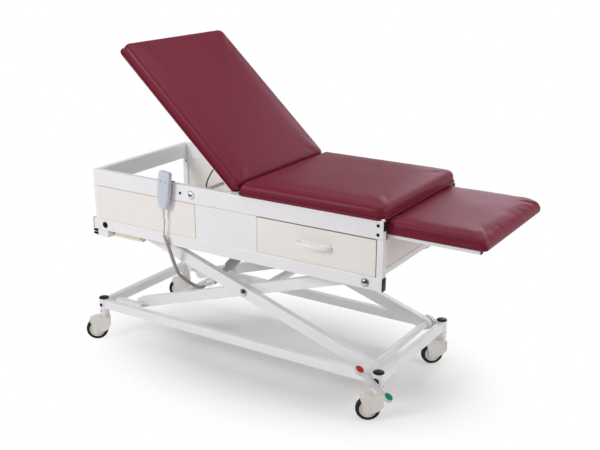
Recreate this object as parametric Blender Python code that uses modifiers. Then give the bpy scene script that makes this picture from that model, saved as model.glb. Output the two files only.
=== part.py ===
"""Height-adjustable examination table on a scissor lift, with drawers, backrest and pull-out leg rest.

Metres, +Z up. X runs from the head end (-X) to the foot end (+X), the near side faces -Y.
The table is modelled in its raised position, with the backrest up and the leg rest pulled out.
"""
from math import asin, atan2, ceil, cos, hypot, pi, radians, sin

import bmesh
import bpy
from mathutils import Matrix, Vector

# Clearances
GAP = 0.0003                    # between pieces that seat on each other
RUNNING_GAP = 0.0004            # round a pin in its bore
FRONT_GAP = 0.0035              # round a drawer front
WELD = 0.001                    # overlap of shapes welded into one piece
RAIL_EDGE = 0.003               # rounded edges of the rectangular tubes

# Scissor lift
LIFT_RISE = 0.381               # lower to upper end pivots in the raised position
OUTER_ARM_HEIGHT = 0.050
INNER_ARM_HEIGHT = 0.046
ARM_THICKNESS = 0.028
ARM_INSET = 0.060               # outer face of the outer arms inside the frame's
ARM_SPACING = 0.005             # between outer and inner arm
PIVOT_INSET = 0.056             # fixed pivots from the foot casters' stems
SLIDE_INSET = 0.155             # sliding pivots from the frame's head end
BASE_PIVOT_Z = 0.190
CROSS_TUBE_RADIUS = 0.017
BASE_SHAFT_RADIUS = 0.015
BASE_SHAFT_END_RADIUS = 0.010
PIN_RADIUS = 0.008
UPPER_SHAFT_RADIUS = 0.012
OUTER_CROSS_TUBE = 0.531        # from the centre pivot along the arm
INNER_LOWER_TUBE = 0.420
INNER_UPPER_TUBE = 0.070
BUSH_RADIUS = 0.013
LIFT_SLIDE_TRAVEL = 0.054       # of the arms' sliding ends over the whole lift

# Base
BASE_SETBACK = 0.006            # frame length less the length between caster stems
BASE_INSET = 0.026              # caster stems inside the frame's sides
BASE_RAIL_Z = 0.155             # underside of the rails
BASE_RAIL_HEIGHT = 0.040
BASE_RAIL_WIDTH = 0.030
BASE_RAIL_WALL = 0.002
CORNER_TUBE_RADIUS = 0.022
CORNER_TUBE_TOP = 0.2015
CORNER_TUBE_BOTTOM = 0.1275
CORNER_CAP_HEIGHT = 0.0045
TRACK_WALL = 0.003
TRACK_DEPTH = 0.025
TRACK_END_SPACE = 0.045

# Casters
WHEEL_RADIUS = 0.050
WHEEL_WIDTH = 0.026
WHEEL_BORE = 0.007
CASTER_TRAIL = 0.038
CHEEK_RADIUS = 0.019            # round the axle
CHEEK_HEEL = 0.042              # from the axle
HOOD_END = radians(123.0)       # where the hood stops over the tread
CHEEK_THICKNESS = 0.0065
CHEEK_GAP = 0.0015
HOOD_GAP = 0.004                # over the tread
STEM_RADIUS = 0.0185
STEM_TAPER = 0.001
SWIVEL_DEGREES = {"near_head": 38.0, "far_head": 34.0, "near_foot": 31.0, "far_foot": 42.0}

# Brake rocker
HEX_BAR_RADIUS = 0.007
HEX_BAR_Z = 0.172
PEDAL_TILT = radians(33.0)
PEDAL_HALF_LENGTH = 0.075       # pivot to pad centre
PEDAL_WIDTH = 0.036
PEDAL_THICKNESS = 0.014
PEDAL_PAD_RADIUS = 0.0165
PEDAL_PAD_HEIGHT = 0.003
PEDAL_OFFSET = 0.004            # from the corner tube

# Upper frame
FRAME_LENGTH = 1.428
FRAME_WIDTH = 0.650
FOOT_OVERHANG = 0.070           # frame end past the fixed pivots
LOWER_RAIL_HEIGHT = 0.052
LOWER_RAIL_WIDTH = 0.030
BAY_HEIGHT = 0.151              # between lower and upper rails
UPPER_RAIL_HEIGHT = 0.072
UPPER_RAIL_WIDTH = 0.025
HEAD_RAIL_OVERHANG = 0.014      # lower rails past the frame's head end
POST_WIDTH = 0.025
PLUG_THICKNESS = 0.003
PANEL_THICKNESS = 0.020
MIDDLE_PANEL_HEAD = 0.193       # from the backrest's hinge towards the head
MIDDLE_PANEL_FOOT = 0.112       # and towards the foot
HEAD_TUBE_WIDTH = 0.060
HEAD_TUBE_HEIGHT = 0.032
HEAD_TUBE_INSET = 0.008
FOOT_RAIL_HEIGHT = 0.026
FOOT_RAIL_LIFT = 0.007          # above the lower rails
MIDDLE_BEAM_OFFSET = 0.001      # from the backrest's hinge
MIDDLE_BEAM_WIDTH = 0.030
DOME_RADIUS = 0.017
DOME_HEIGHT = 0.009
GUIDE_LENGTH = 0.168
GUIDE_DROP = 0.030              # below the lower rail
GUIDE_THICKNESS = 0.024
GUIDE_BACK = 0.004
GUIDE_END_WALL = 0.016
REST_BAR_SPACE = 0.212          # from the backrest's hinge
REST_BAR_RADIUS = 0.008
BUFFER_RADIUS = 0.0062
BUFFER_LENGTH = 0.030

# Drawers
FRONT_THICKNESS = 0.018
TRAY_WALL = 0.012
TRAY_BACK_SPACE = 0.022         # half the frame's width less the tray's depth
TRAY_HEIGHT = 0.118
TRAY_CLEARANCE = 0.013          # above the lower rails
RUNNER_WIDTH = 0.012
RIB_HEIGHT = 0.012
LEDGE_THICKNESS = 0.004
HANDLE_SPAN = 0.148
HANDLE_BOW = 0.032
HANDLE_RADIUS = 0.0055

# Upholstery
PAD_OVERHANG = 0.010            # past the frame's sides
BOARD_THICKNESS = 0.008
PAD_THICKNESS = 0.060
PAD_TOP_EDGE = 0.024
PAD_BOTTOM_EDGE = 0.009
PAD_CORNER = 0.036              # in plan
PAD_CROWN = 0.004
PAD_DRAW_IN = 0.007
SEAT_LENGTH = 0.626
SEAT_OVERHANG = 0.007           # past the frame's foot end
BACKREST_LENGTH = 0.758
BACKREST_ANGLE = radians(42.5)
BACKREST_LIFT = 0.0035          # board above the rails when flat
HINGE_SPACE = 0.054             # from the seat's head end
HINGE_END_SPACE = 0.003         # hinge axis to the pad's lower end
HINGE_PIN_RADIUS = 0.005
HINGE_PLATE_RADIUS = 0.011
BACKREST_BAR_WIDTH = 0.020
BACKREST_BAR_INSET = 0.053      # bars' middle inside the frame's sides
BACKREST_BAR_LENGTH = 0.600

# Leg rest
LEG_PAD_LENGTH = 0.414
LEG_PAD_INSET = 0.029           # inside the frame's sides
LEG_PAD_THICKNESS = 0.056
LEG_REACH = 0.389               # pad's end past the frame
LEG_SEAT_GAP = 0.0015           # under the seat board
LEG_PAD_END_EDGE = 0.042        # rounding of the foot end
LEG_RAIL_HEIGHT = 0.012
LEG_RAIL_WIDTH = 0.020
LEG_RAIL_INSET = 0.050          # rails' middle inside the frame's sides
LEG_RAIL_LENGTH = 0.640
LEG_RAIL_SETBACK = 0.031        # rails' end inside the pad's end
LEG_GUIDE_WALL = 0.003

# Gas spring of the backrest
SPRING_ARM = 0.185              # backrest hinge to both spring eyes
SPRING_Y = 0.090
SPRING_EYE_DROP = 0.025         # upper eye under the pad's lower face
SPRING_CYLINDER_RADIUS = 0.011
SPRING_CYLINDER_LENGTH = 0.175
SPRING_BORE_RADIUS = 0.0085
SPRING_ROD_RADIUS = 0.005
SPRING_ROD_LENGTH = 0.205

# Lift actuator
ACTUATOR_LOWER = 0.371          # lower eye from the centre pivot along the inner arms
ACTUATOR_BEAM_SPACE = 0.0304    # upper eye from the middle beam
ACTUATOR_UPPER_Z = 0.018        # upper eye above the lower rails
ACTUATOR_TUBE_RADIUS = 0.023
ACTUATOR_BORE_RADIUS = 0.021
ACTUATOR_TUBE_END = 0.345
ACTUATOR_MOTOR_LENGTH = 0.110
ACTUATOR_MOTOR_SIZE = 0.057
ACTUATOR_ROD_RADIUS = 0.014
ACTUATOR_ROD_LENGTH = 0.215

# Eyes and lugs
EYE_RADIUS = 0.013
EYE_WIDTH = 0.030
LUG_THICKNESS = 0.005
LUG_PIN_RADIUS = 0.005
LUG_RADIUS = 0.0135

# Handset
HANDSET_WIDTH = 0.056
HANDSET_LENGTH = 0.162
HANDSET_THICKNESS = 0.023
HANDSET_X = -0.278
HANDSET_TOP_Z = 0.874
HANDSET_TILT = radians(6.8)
HANDSET_TAPER = 0.007
BUTTON_RADIUS = 0.007
BUTTON_HEIGHT = 0.002
BUTTON_STEM = 0.003             # inside the case
BUTTON_TRAVEL = 0.0012
BUTTON_SPACING = 0.020
BUTTON_DROP = 0.040
HOOK_THICKNESS = 0.0016
HOOK_STANDOFF = 0.011           # keeps the handset clear of the flat backrest's pad
HOOK_WIDTH = 0.040
HOOK_X = -0.284
RELIEF_LENGTH = 0.046
RELIEF_RADIUS = 0.0055

# Curly cord and release cable
CURL_WIRE_RADIUS = 0.0024
CURL_RADIUS = 0.0056
CURL_COUNT = 72
CURL_POINTS = 6
CABLE_RADIUS = 0.0028
CORD_CONNECTOR_RADIUS = 0.007
CORD_CONNECTOR_LENGTH = 0.032
CORD_BENDS = (                  # from the handset's middle, the frame's near face and the lower rail's top
    (-0.020, -0.018, 0.000), (-0.012, -0.017, -0.027), (-0.006, -0.010, -0.052), (-0.009, 0.015, -0.111),
    (-0.022, 0.055, -0.177), (-0.034, 0.095, -0.226), (-0.028, 0.155, -0.280))
CORD_ENTRY = (0.002, -0.040, 0.003)     # last bend, from the socket
CABLE_BENDS = (                 # from the backrest's hinge, along X and Z
    (-0.157, -0.0595), (-0.180, -0.0275), (-0.178, 0.0025), (-0.156, 0.0425), (-0.130, 0.0775))
CABLE_ANCHOR = (-0.150, -0.016)         # on the backrest's frame

COLLECTION_NAME = "examination_table"
CORD_NAMES = ("handset_cord", "release_cable")

# Sizes that follow from the ones above
BASE_LENGTH = FRAME_LENGTH - BASE_SETBACK
PIVOT_X = BASE_LENGTH / 2 - PIVOT_INSET     # both fixed pivots, one above the other
ARM_RUN = FRAME_LENGTH - FOOT_OVERHANG - SLIDE_INSET
ARM_HALF = hypot(ARM_RUN, LIFT_RISE) / 2    # centre pivot to end pivot
ARM_ANGLE = atan2(LIFT_RISE, ARM_RUN)       # slope of the arms in the raised position
CENTRE = Vector((PIVOT_X - ARM_RUN / 2, 0, BASE_PIVOT_Z + LIFT_RISE / 2))
SLIDE_X = PIVOT_X - ARM_RUN
UPPER_PIVOT_Z = BASE_PIVOT_Z + LIFT_RISE
HALF_FRAME = FRAME_WIDTH / 2
OUTER_ARM_Y = HALF_FRAME - ARM_INSET
INNER_ARM_Y = OUTER_ARM_Y - ARM_THICKNESS - ARM_SPACING
BASE_WIDTH = FRAME_WIDTH - 2 * BASE_INSET
PAD_WIDTH = FRAME_WIDTH + 2 * PAD_OVERHANG
LEG_PAD_WIDTH = FRAME_WIDTH - 2 * LEG_PAD_INSET
BACKREST_BAR_Y = HALF_FRAME - BACKREST_BAR_INSET
LEG_RAIL_Y = HALF_FRAME - LEG_RAIL_INSET
TRAY_DEPTH = HALF_FRAME - TRAY_BACK_SPACE
FRAME_FOOT = PIVOT_X + FOOT_OVERHANG
FRAME_HEAD = FRAME_FOOT - FRAME_LENGTH
LOWER_Z0 = UPPER_PIVOT_Z - LOWER_RAIL_HEIGHT / 2
LOWER_Z1 = LOWER_Z0 + LOWER_RAIL_HEIGHT
FOOT_RAIL_TOP = LOWER_Z1 + FOOT_RAIL_LIFT + FOOT_RAIL_HEIGHT
UPPER_Z0 = LOWER_Z1 + BAY_HEIGHT
UPPER_Z1 = UPPER_Z0 + UPPER_RAIL_HEIGHT
LOWER_RAIL_IN = HALF_FRAME - LOWER_RAIL_WIDTH
UPPER_RAIL_IN = HALF_FRAME - UPPER_RAIL_WIDTH
BASE_RAIL_Y = BASE_WIDTH / 2
BASE_RAIL_IN = BASE_RAIL_Y - BASE_RAIL_WIDTH / 2
BASE_RAIL_TOP = BASE_RAIL_Z + BASE_RAIL_HEIGHT
SEAT_FOOT = FRAME_FOOT + SEAT_OVERHANG
SEAT_HEAD = SEAT_FOOT - SEAT_LENGTH
HINGE = Vector((SEAT_HEAD - HINGE_SPACE, 0, UPPER_Z1 + BACKREST_LIFT + BOARD_THICKNESS / 2))
UPPER_MIDDLE = (UPPER_Z0 + UPPER_Z1) / 2
MIDDLE_BEAM_X = HINGE.x + MIDDLE_BEAM_OFFSET
MIDDLE_PANEL_X = (HINGE.x - MIDDLE_PANEL_HEAD, HINGE.x + MIDDLE_PANEL_FOOT)
REST_BAR_X = HINGE.x - REST_BAR_SPACE
LEG_PAD_END_X = FRAME_FOOT + LEG_REACH
LEG_RAIL_END_X = LEG_PAD_END_X - LEG_RAIL_SETBACK
ACTUATOR_UPPER = Vector((MIDDLE_BEAM_X - ACTUATOR_BEAM_SPACE, 0, LOWER_Z1 + ACTUATOR_UPPER_Z))
SPRING_LOWER = Vector((HINGE.x, SPRING_Y, HINGE.z - SPRING_ARM))
SPRING_EYE = Vector((-SPRING_ARM * cos(asin(SPRING_EYE_DROP / SPRING_ARM)), SPRING_Y, -SPRING_EYE_DROP))
CORD_SOCKET = Vector((-ACTUATOR_LOWER - LUG_PIN_RADIUS - CORD_CONNECTOR_RADIUS - 2 * WELD,
                      -EYE_WIDTH / 2 - LUG_THICKNESS - CORD_CONNECTOR_LENGTH, 0))
HANDSET_BACK_Y = -(HALF_FRAME + HOOK_STANDOFF + 2 * GAP)
CORNERS = {
    "near_head": (-1, -1), "far_head": (-1, 1), "near_foot": (1, -1), "far_foot": (1, 1),
}
SIDES = (-1, 1)
HEAD_POST = FRAME_HEAD + RAIL_EDGE
DRAWER_BAY = (MIDDLE_PANEL_X[1] + FRONT_GAP, FRAME_FOOT - POST_WIDTH - FRONT_GAP)
HEAD_BAY = (HEAD_POST + POST_WIDTH + GAP, MIDDLE_PANEL_X[0] - 2 * GAP)

for old in list(bpy.data.objects):
    bpy.data.objects.remove(old, do_unlink=True)

part_collection = bpy.data.collections.new(COLLECTION_NAME)
cutter_collection = bpy.data.collections.new(COLLECTION_NAME + "_cutters")
bpy.context.scene.collection.children.link(part_collection)
bpy.context.scene.collection.children.link(cutter_collection)


def material(name, colour, roughness, metallic=0.0):
    made = bpy.data.materials.new(name)
    made.use_nodes = True
    shader = made.node_tree.nodes["Principled BSDF"]
    shader.inputs["Base Color"].default_value = (*colour, 1.0)
    shader.inputs["Roughness"].default_value = roughness
    shader.inputs["Metallic"].default_value = metallic
    made.diffuse_color = (*colour, 1.0)
    return made


WHITE = material("white_paint", (0.82, 0.82, 0.83), 0.35)
CREAM = material("cream_laminate", (0.78, 0.74, 0.69), 0.45)
BEIGE = material("cream_plastic", (0.74, 0.71, 0.64), 0.4)
IVORY = material("ivory_nylon", (0.66, 0.62, 0.52), 0.5)
BLACK = material("black_plastic", (0.02, 0.02, 0.025), 0.45)
CHROME = material("chrome", (0.75, 0.76, 0.78), 0.08, 1.0)
STEEL = material("steel", (0.55, 0.56, 0.58), 0.35, 1.0)
GREY = material("grey_paint", (0.30, 0.31, 0.32), 0.4)
PEDAL_GREY = material("pedal_grey", (0.55, 0.56, 0.57), 0.4)
RED = material("red_plastic", (0.55, 0.02, 0.02), 0.35)
GREEN = material("green_plastic", (0.0, 0.25, 0.20), 0.35)
RUBBER = material("dark_tyre", (0.03, 0.03, 0.035), 0.6)
VINYL = material("burgundy_vinyl", (0.16, 0.02, 0.04), 0.4)
BLUE_GREY = material("blue_grey_plastic", (0.52, 0.56, 0.66), 0.4)
CORD = material("beige_cord", (0.42, 0.38, 0.31), 0.5)


root = bpy.data.objects.new("table_root", None)
part_collection.objects.link(root)


def body(name, location=(0, 0, 0), tilt=0.0, turn=0.0, parent=root):
    """An empty on a joint axis; its pieces are modelled round it, before the tilt and turn."""
    empty = bpy.data.objects.new(name + "_axis", None)
    empty.location = location
    empty.rotation_euler = (0, tilt, turn)
    empty.parent = parent
    part_collection.objects.link(empty)
    return empty


def add_box(bm, low, high):
    low, high = Vector(low), Vector(high)
    matrix = Matrix.Translation((low + high) / 2) @ Matrix.Diagonal((*(high - low), 1))
    bmesh.ops.create_cube(bm, size=1.0, matrix=matrix)


def add_cylinder(bm, radius, start, end, segments=16, radius_end=None):
    start, end = Vector(start), Vector(end)
    axis = end - start
    turn = axis.to_track_quat("Z", "Y").to_matrix().to_4x4()
    bmesh.ops.create_cone(
        bm, cap_ends=True, segments=segments, radius1=radius,
        radius2=radius if radius_end is None else radius_end,
        depth=axis.length, matrix=Matrix.Translation((start + end) / 2) @ turn)


def add_turned(bm, profile, origin, direction, segments=20):
    """A profile of (radius, height) points, closed on the axis, turned about origin + direction."""
    made = bmesh.new()
    points = [made.verts.new((radius, 0, height)) for radius, height in profile]
    edges = [made.edges.new(pair) for pair in zip(points, points[1:])]
    if profile[0][0] > 0:
        edges.append(made.edges.new((points[-1], points[0])))
    bmesh.ops.spin(made, geom=points + edges, cent=(0, 0, 0), axis=(0, 0, 1), angle=2 * pi,
                   steps=segments, use_merge=True)
    bmesh.ops.remove_doubles(made, verts=made.verts, dist=1e-5)
    bmesh.ops.recalc_face_normals(made, faces=made.faces)
    turn = Vector(direction).to_track_quat("Z", "Y").to_matrix().to_4x4()
    add_copy(bm, made, Matrix.Translation(origin) @ turn)


def add_copy(bm, made, matrix):
    bmesh.ops.transform(made, matrix=matrix, verts=made.verts)
    mesh = bpy.data.meshes.new("piece")
    made.to_mesh(mesh)
    made.free()
    bm.from_mesh(mesh)
    bpy.data.meshes.remove(mesh)


def add_prism(bm, loops, depth, matrix):
    """A flat outline with any holes, in local XY, thickened by depth about its plane."""
    curve = bpy.data.curves.new("outline", "CURVE")
    curve.dimensions = "2D"
    curve.fill_mode = "BOTH"
    curve.extrude = depth / 2
    for loop in loops:
        spline = curve.splines.new("POLY")
        spline.points.add(len(loop) - 1)
        for point, (x, y) in zip(spline.points, loop):
            point.co = (x, y, 0, 1)
        spline.use_cyclic_u = True
    holder = bpy.data.objects.new("outline", curve)
    bpy.context.scene.collection.objects.link(holder)
    graph = bpy.context.evaluated_depsgraph_get()
    mesh = bpy.data.meshes.new_from_object(holder.evaluated_get(graph))
    bpy.data.objects.remove(holder, do_unlink=True)
    bpy.data.curves.remove(curve)
    made = bmesh.new()
    made.from_mesh(mesh)
    bpy.data.meshes.remove(mesh)
    bmesh.ops.remove_doubles(made, verts=made.verts, dist=1e-6)
    if len(loops) == 1:
        bmesh.ops.dissolve_limit(made, angle_limit=radians(0.5), verts=made.verts, edges=made.edges)
    bmesh.ops.recalc_face_normals(made, faces=made.faces)
    add_copy(bm, made, matrix)


def upright(y):
    """Local XY of an outline as the XZ plane at this y."""
    return Matrix.Translation((0, y, 0)) @ Matrix.Rotation(radians(90), 4, "X")


def across(x):
    """Local XY of an outline as the YZ plane at this x."""
    return Matrix(((0, 0, 1, x), (1, 0, 0, 0), (0, 1, 0, 0), (0, 0, 0, 1)))


def arc(centre, radius, start, end, steps):
    return [(centre[0] + radius * cos(start + (end - start) * i / steps),
             centre[1] + radius * sin(start + (end - start) * i / steps)) for i in range(steps + 1)]


def circle(centre, radius, segments=16):
    return arc(centre, radius, 0, 2 * pi, segments)[:-1]


def obround(first, second, radius, steps=6):
    """Outline of a link with round ends about two points."""
    slope = atan2(second[1] - first[1], second[0] - first[0])
    return (arc(second, radius, slope - pi / 2, slope + pi / 2, steps)
            + arc(first, radius, slope + pi / 2, slope + 1.5 * pi, steps))


def finish(name, bm, look, owner, bevel=0.0, segments=2, bevel_angle=40):
    """Makes a named object of the body from the mesh built in the body's own coordinates."""
    mesh = bpy.data.meshes.new(name)
    bm.to_mesh(mesh)
    bm.free()
    mesh.materials.append(look)
    made = bpy.data.objects.new(name, mesh)
    made.parent = owner
    part_collection.objects.link(made)
    if bevel > 0:
        edge = made.modifiers.new("edges", "BEVEL")
        edge.width = bevel
        edge.segments = segments
        edge.limit_method = "ANGLE"
        edge.angle_limit = radians(bevel_angle)
    mesh.shade_smooth()
    mesh.set_sharp_from_angle(angle=radians(35))
    return made


def cut(target, bm, operation="DIFFERENCE"):
    """Cuts or joins the target with a mesh built in the same coordinates."""
    mesh = bpy.data.meshes.new(target.name + "_cutter")
    bm.to_mesh(mesh)
    bm.free()
    cutter = bpy.data.objects.new(target.name + "_cutter", mesh)
    cutter.parent = target.parent
    cutter.hide_render = True
    cutter.display_type = "WIRE"
    cutter_collection.objects.link(cutter)
    step = target.modifiers.new(operation.lower(), "BOOLEAN")
    step.operation = operation
    step.object = cutter


def weld(target, bm):
    """Joins shapes to the target; shapes in one call don't overlap each other."""
    cut(target, bm, "UNION")


def smooth_route(points, spacing):
    """Points at an even spacing along a smooth curve through the given ones."""
    points = [Vector(point) for point in points]
    ends = [2 * points[0] - points[1]] + points + [2 * points[-1] - points[-2]]
    fine = []
    for a, b, c, d in zip(ends, ends[1:], ends[2:], ends[3:]):
        for i in range(24):
            t = i / 24
            fine.append(0.5 * (2 * b + (c - a) * t + (2 * a - 5 * b + 4 * c - d) * t * t
                               + (3 * b - a - 3 * c + d) * t ** 3))
    fine.append(points[-1])
    lengths = [0.0]
    for a, b in zip(fine, fine[1:]):
        lengths.append(lengths[-1] + (b - a).length)
    count = max(2, ceil(lengths[-1] / spacing))
    route = []
    j = 0
    for i in range(count + 1):
        wanted = lengths[-1] * i / count
        while j < len(fine) - 2 and lengths[j + 1] < wanted:
            j += 1
        share = (wanted - lengths[j]) / max(1e-9, lengths[j + 1] - lengths[j])
        route.append(fine[j].lerp(fine[j + 1], share))
    return route


def tube(name, points, radius, look, owner, resolution=2):
    curve = bpy.data.curves.new(name, "CURVE")
    curve.dimensions = "3D"
    curve.bevel_depth = radius
    curve.bevel_resolution = resolution
    curve.use_fill_caps = True
    spline = curve.splines.new("POLY")
    spline.points.add(len(points) - 1)
    for point, place in zip(spline.points, points):
        point.co = (*place, 1)
    curve.materials.append(look)
    made = bpy.data.objects.new(name, curve)
    made.parent = owner
    part_collection.objects.link(made)
    return made


def helix(route, count, radius, per_turn):
    """One unbroken coil round a route; its first and last step stay straight."""
    total = count * per_turn
    coil = [route[0]]
    side = Vector((0, 1, 0))
    for i in range(total + 1):
        share = 1 + i / total * (len(route) - 3)
        j = min(int(share), len(route) - 3)
        place = route[j].lerp(route[j + 1], share - j)
        ahead = (route[j + 1] - route[j]).normalized()
        side = (side - ahead * side.dot(ahead)).normalized()
        turn = 2 * pi * i / per_turn
        grow = min(1.0, 2 * i / per_turn, 2 * (total - i) / per_turn)
        coil.append(place + grow * radius * (cos(turn) * side + sin(turn) * ahead.cross(side)))
    return coil + [route[-1]]


def least_gap(coil, per_turn, wire_radius):
    """Smallest free space between neighbouring curls, on the coil's own points."""
    last = len(coil)
    least = min((coil[i] - coil[j]).length
                for i in range(last) for j in range(i + per_turn // 2, min(last, i + 2 * per_turn)))
    return least - 2 * wire_radius


def eye(bm, width, origin=(0, 0, 0)):
    """A turned eye across Y with a pin end in each lug."""
    half = width / 2
    reach = half + GAP + LUG_THICKNESS
    add_turned(bm, ((0, -reach), (LUG_PIN_RADIUS, -reach), (LUG_PIN_RADIUS, -half), (EYE_RADIUS, -half),
                    (EYE_RADIUS, half), (LUG_PIN_RADIUS, half), (LUG_PIN_RADIUS, reach), (0, reach)),
               origin, (0, 1, 0), 12)


def lug_pair(bm, y, width, pivot, foot):
    """Two link-shaped plates, each with a bore for the eye's pin."""
    loops = [obround(foot, pivot, LUG_RADIUS, 5), circle(pivot, LUG_PIN_RADIUS + RUNNING_GAP, 12)]
    for side in SIDES:
        place = y + side * (width / 2 + GAP + LUG_THICKNESS / 2)
        add_prism(bm, loops, LUG_THICKNESS, upright(place))


def direction_tilt(start, end):
    """Tilt about Y that takes +Z to the direction between two points."""
    return atan2(end[0] - start[0], end[2] - start[2])


def base():
    owner = body("base")
    half_x = BASE_LENGTH / 2
    half_width = BASE_RAIL_WIDTH / 2
    bore = HEX_BAR_RADIUS + RUNNING_GAP
    for name, side in (("near", -1), ("far", 1)):
        y = side * BASE_RAIL_Y
        inner_y = side * (BASE_RAIL_IN + WELD)
        reach = half_x - CORNER_TUBE_RADIUS / 2
        bm = bmesh.new()
        add_box(bm, (-reach, y - half_width, BASE_RAIL_Z), (reach, y + half_width, BASE_RAIL_TOP))
        rail = finish("base_rail_" + name, bm, WHITE, owner, RAIL_EDGE)

        tubes = bmesh.new()
        holes = bmesh.new()
        cap_top = CORNER_TUBE_TOP + CORNER_CAP_HEIGHT
        profile = ((0, CORNER_TUBE_BOTTOM), (CORNER_TUBE_RADIUS, CORNER_TUBE_BOTTOM),
                   (CORNER_TUBE_RADIUS, CORNER_TUBE_TOP + CORNER_CAP_HEIGHT / 2),
                   (0.85 * CORNER_TUBE_RADIUS, cap_top), (0, cap_top))
        for end in SIDES:
            add_turned(tubes, profile, (end * half_x, y, 0), (0, 0, 1), 20)
        across_tube = 2 * CORNER_TUBE_RADIUS
        add_cylinder(holes, bore, (half_x, y - across_tube, HEX_BAR_Z),
                     (half_x, y + across_tube, HEX_BAR_Z), 16)
        weld(rail, tubes)
        cut(rail, holes)

        brackets = bmesh.new()
        block_in = side * (OUTER_ARM_Y + ARM_SPACING)
        radius = 0.6 * OUTER_ARM_HEIGHT
        loops = [obround((PIVOT_X, BASE_RAIL_Z + radius + WELD), (PIVOT_X, BASE_PIVOT_Z), radius),
                 circle((PIVOT_X, BASE_PIVOT_Z), BASE_SHAFT_END_RADIUS + RUNNING_GAP)]
        add_prism(brackets, loops, abs(inner_y - block_in), upright((inner_y + block_in) / 2))
        head = SLIDE_X - LIFT_SLIDE_TRAVEL - TRACK_END_SPACE
        foot = SLIDE_X + TRACK_END_SPACE
        web = side * (BASE_RAIL_IN - TRACK_WALL)
        mouth = side * (BASE_RAIL_IN - TRACK_DEPTH)
        low = BASE_PIVOT_Z - BUSH_RADIUS - RUNNING_GAP
        high = BASE_PIVOT_Z + BUSH_RADIUS + RUNNING_GAP
        channel = [(inner_y, low - TRACK_WALL), (mouth, low - TRACK_WALL), (mouth, low), (web, low),
                   (web, high), (mouth, high), (mouth, high + TRACK_WALL), (inner_y, high + TRACK_WALL)]
        add_prism(brackets, [channel], foot - head, across((head + foot) / 2))
        weld(rail, brackets)

    inner = half_width - BASE_RAIL_WALL
    for name, end in (("head", -1), ("foot", 1)):
        x = end * half_x
        bm = bmesh.new()
        add_box(bm, (x - half_width, -BASE_RAIL_Y, BASE_RAIL_Z), (x + half_width, BASE_RAIL_Y, BASE_RAIL_TOP))
        beam = finish("base_beam_" + name, bm, WHITE, owner, RAIL_EDGE)
        hollow = bmesh.new()
        add_box(hollow, (x - inner, -2 * BASE_RAIL_Y, BASE_RAIL_Z + BASE_RAIL_WALL),
                (x + inner, 2 * BASE_RAIL_Y, BASE_RAIL_TOP - BASE_RAIL_WALL))
        cut(beam, hollow)
        copes = bmesh.new()
        for side in SIDES:
            y = side * BASE_RAIL_Y
            add_cylinder(copes, CORNER_TUBE_RADIUS + GAP, (x, y, 0), (x, y, 2 * BASE_RAIL_TOP), 24)
        cut(beam, copes)


def caster(name, end, side):
    x = end * BASE_LENGTH / 2
    y = side * BASE_RAIL_Y
    swivel = body(name + "_swivel", (x, y, 0), turn=radians(SWIVEL_DEGREES[name]))
    axle = Vector((-CASTER_TRAIL, 0, WHEEL_RADIUS))
    slot = WHEEL_WIDTH + 2 * CHEEK_GAP
    width = slot + 2 * CHEEK_THICKNESS
    hood = WHEEL_RADIUS + HOOD_GAP
    top = CORNER_TUBE_BOTTOM - GAP
    shoulder = WHEEL_RADIUS + hood + 0.35 * CHEEK_THICKNESS

    bm = bmesh.new()
    centre = (axle.x, axle.z)
    outline = arc(centre, CHEEK_RADIUS, radians(160), radians(300), 8)
    outline += [(axle.x + CHEEK_HEEL, WHEEL_RADIUS - 0.3 * CHEEK_RADIUS)]
    outline += [(STEM_RADIUS + 0.004, WHEEL_RADIUS + 0.7 * CHEEK_RADIUS), (STEM_RADIUS + 0.004, shoulder)]
    outline += [(-STEM_RADIUS, shoulder + CHEEK_THICKNESS)]
    outline += arc(centre, hood + CHEEK_THICKNESS, radians(96), HOOD_END, 4)
    add_prism(bm, [outline], width, upright(0))
    housing = finish("caster_housing_" + name, bm, BEIGE, swivel)
    space = bmesh.new()
    add_cylinder(space, hood, (axle.x, -slot / 2, axle.z), (axle.x, slot / 2, axle.z), 28)
    cut(housing, space)
    solid = bmesh.new()
    overlap = CHEEK_THICKNESS / 2
    add_cylinder(solid, WHEEL_BORE - RUNNING_GAP, (axle.x, -slot / 2 - overlap, axle.z),
                 (axle.x, slot / 2 + overlap, axle.z), 14)
    seat_z = shoulder - CHEEK_THICKNESS / 2
    add_cylinder(solid, STEM_RADIUS + STEM_TAPER, (0, 0, seat_z), (0, 0, top), 20, STEM_RADIUS)
    weld(housing, solid)

    wheel = body(name + "_wheel", axle, parent=swivel)
    bm = bmesh.new()
    half = WHEEL_WIDTH / 2
    profile = [(WHEEL_BORE, -half), (0.9 * WHEEL_RADIUS, -half), (WHEEL_RADIUS, -0.45 * half),
               (WHEEL_RADIUS, 0.45 * half), (0.9 * WHEEL_RADIUS, half), (WHEEL_BORE, half)]
    add_turned(bm, profile, (0, 0, 0), (0, 1, 0), 24)
    finish("wheel_" + name, bm, RUBBER, wheel)


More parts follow.
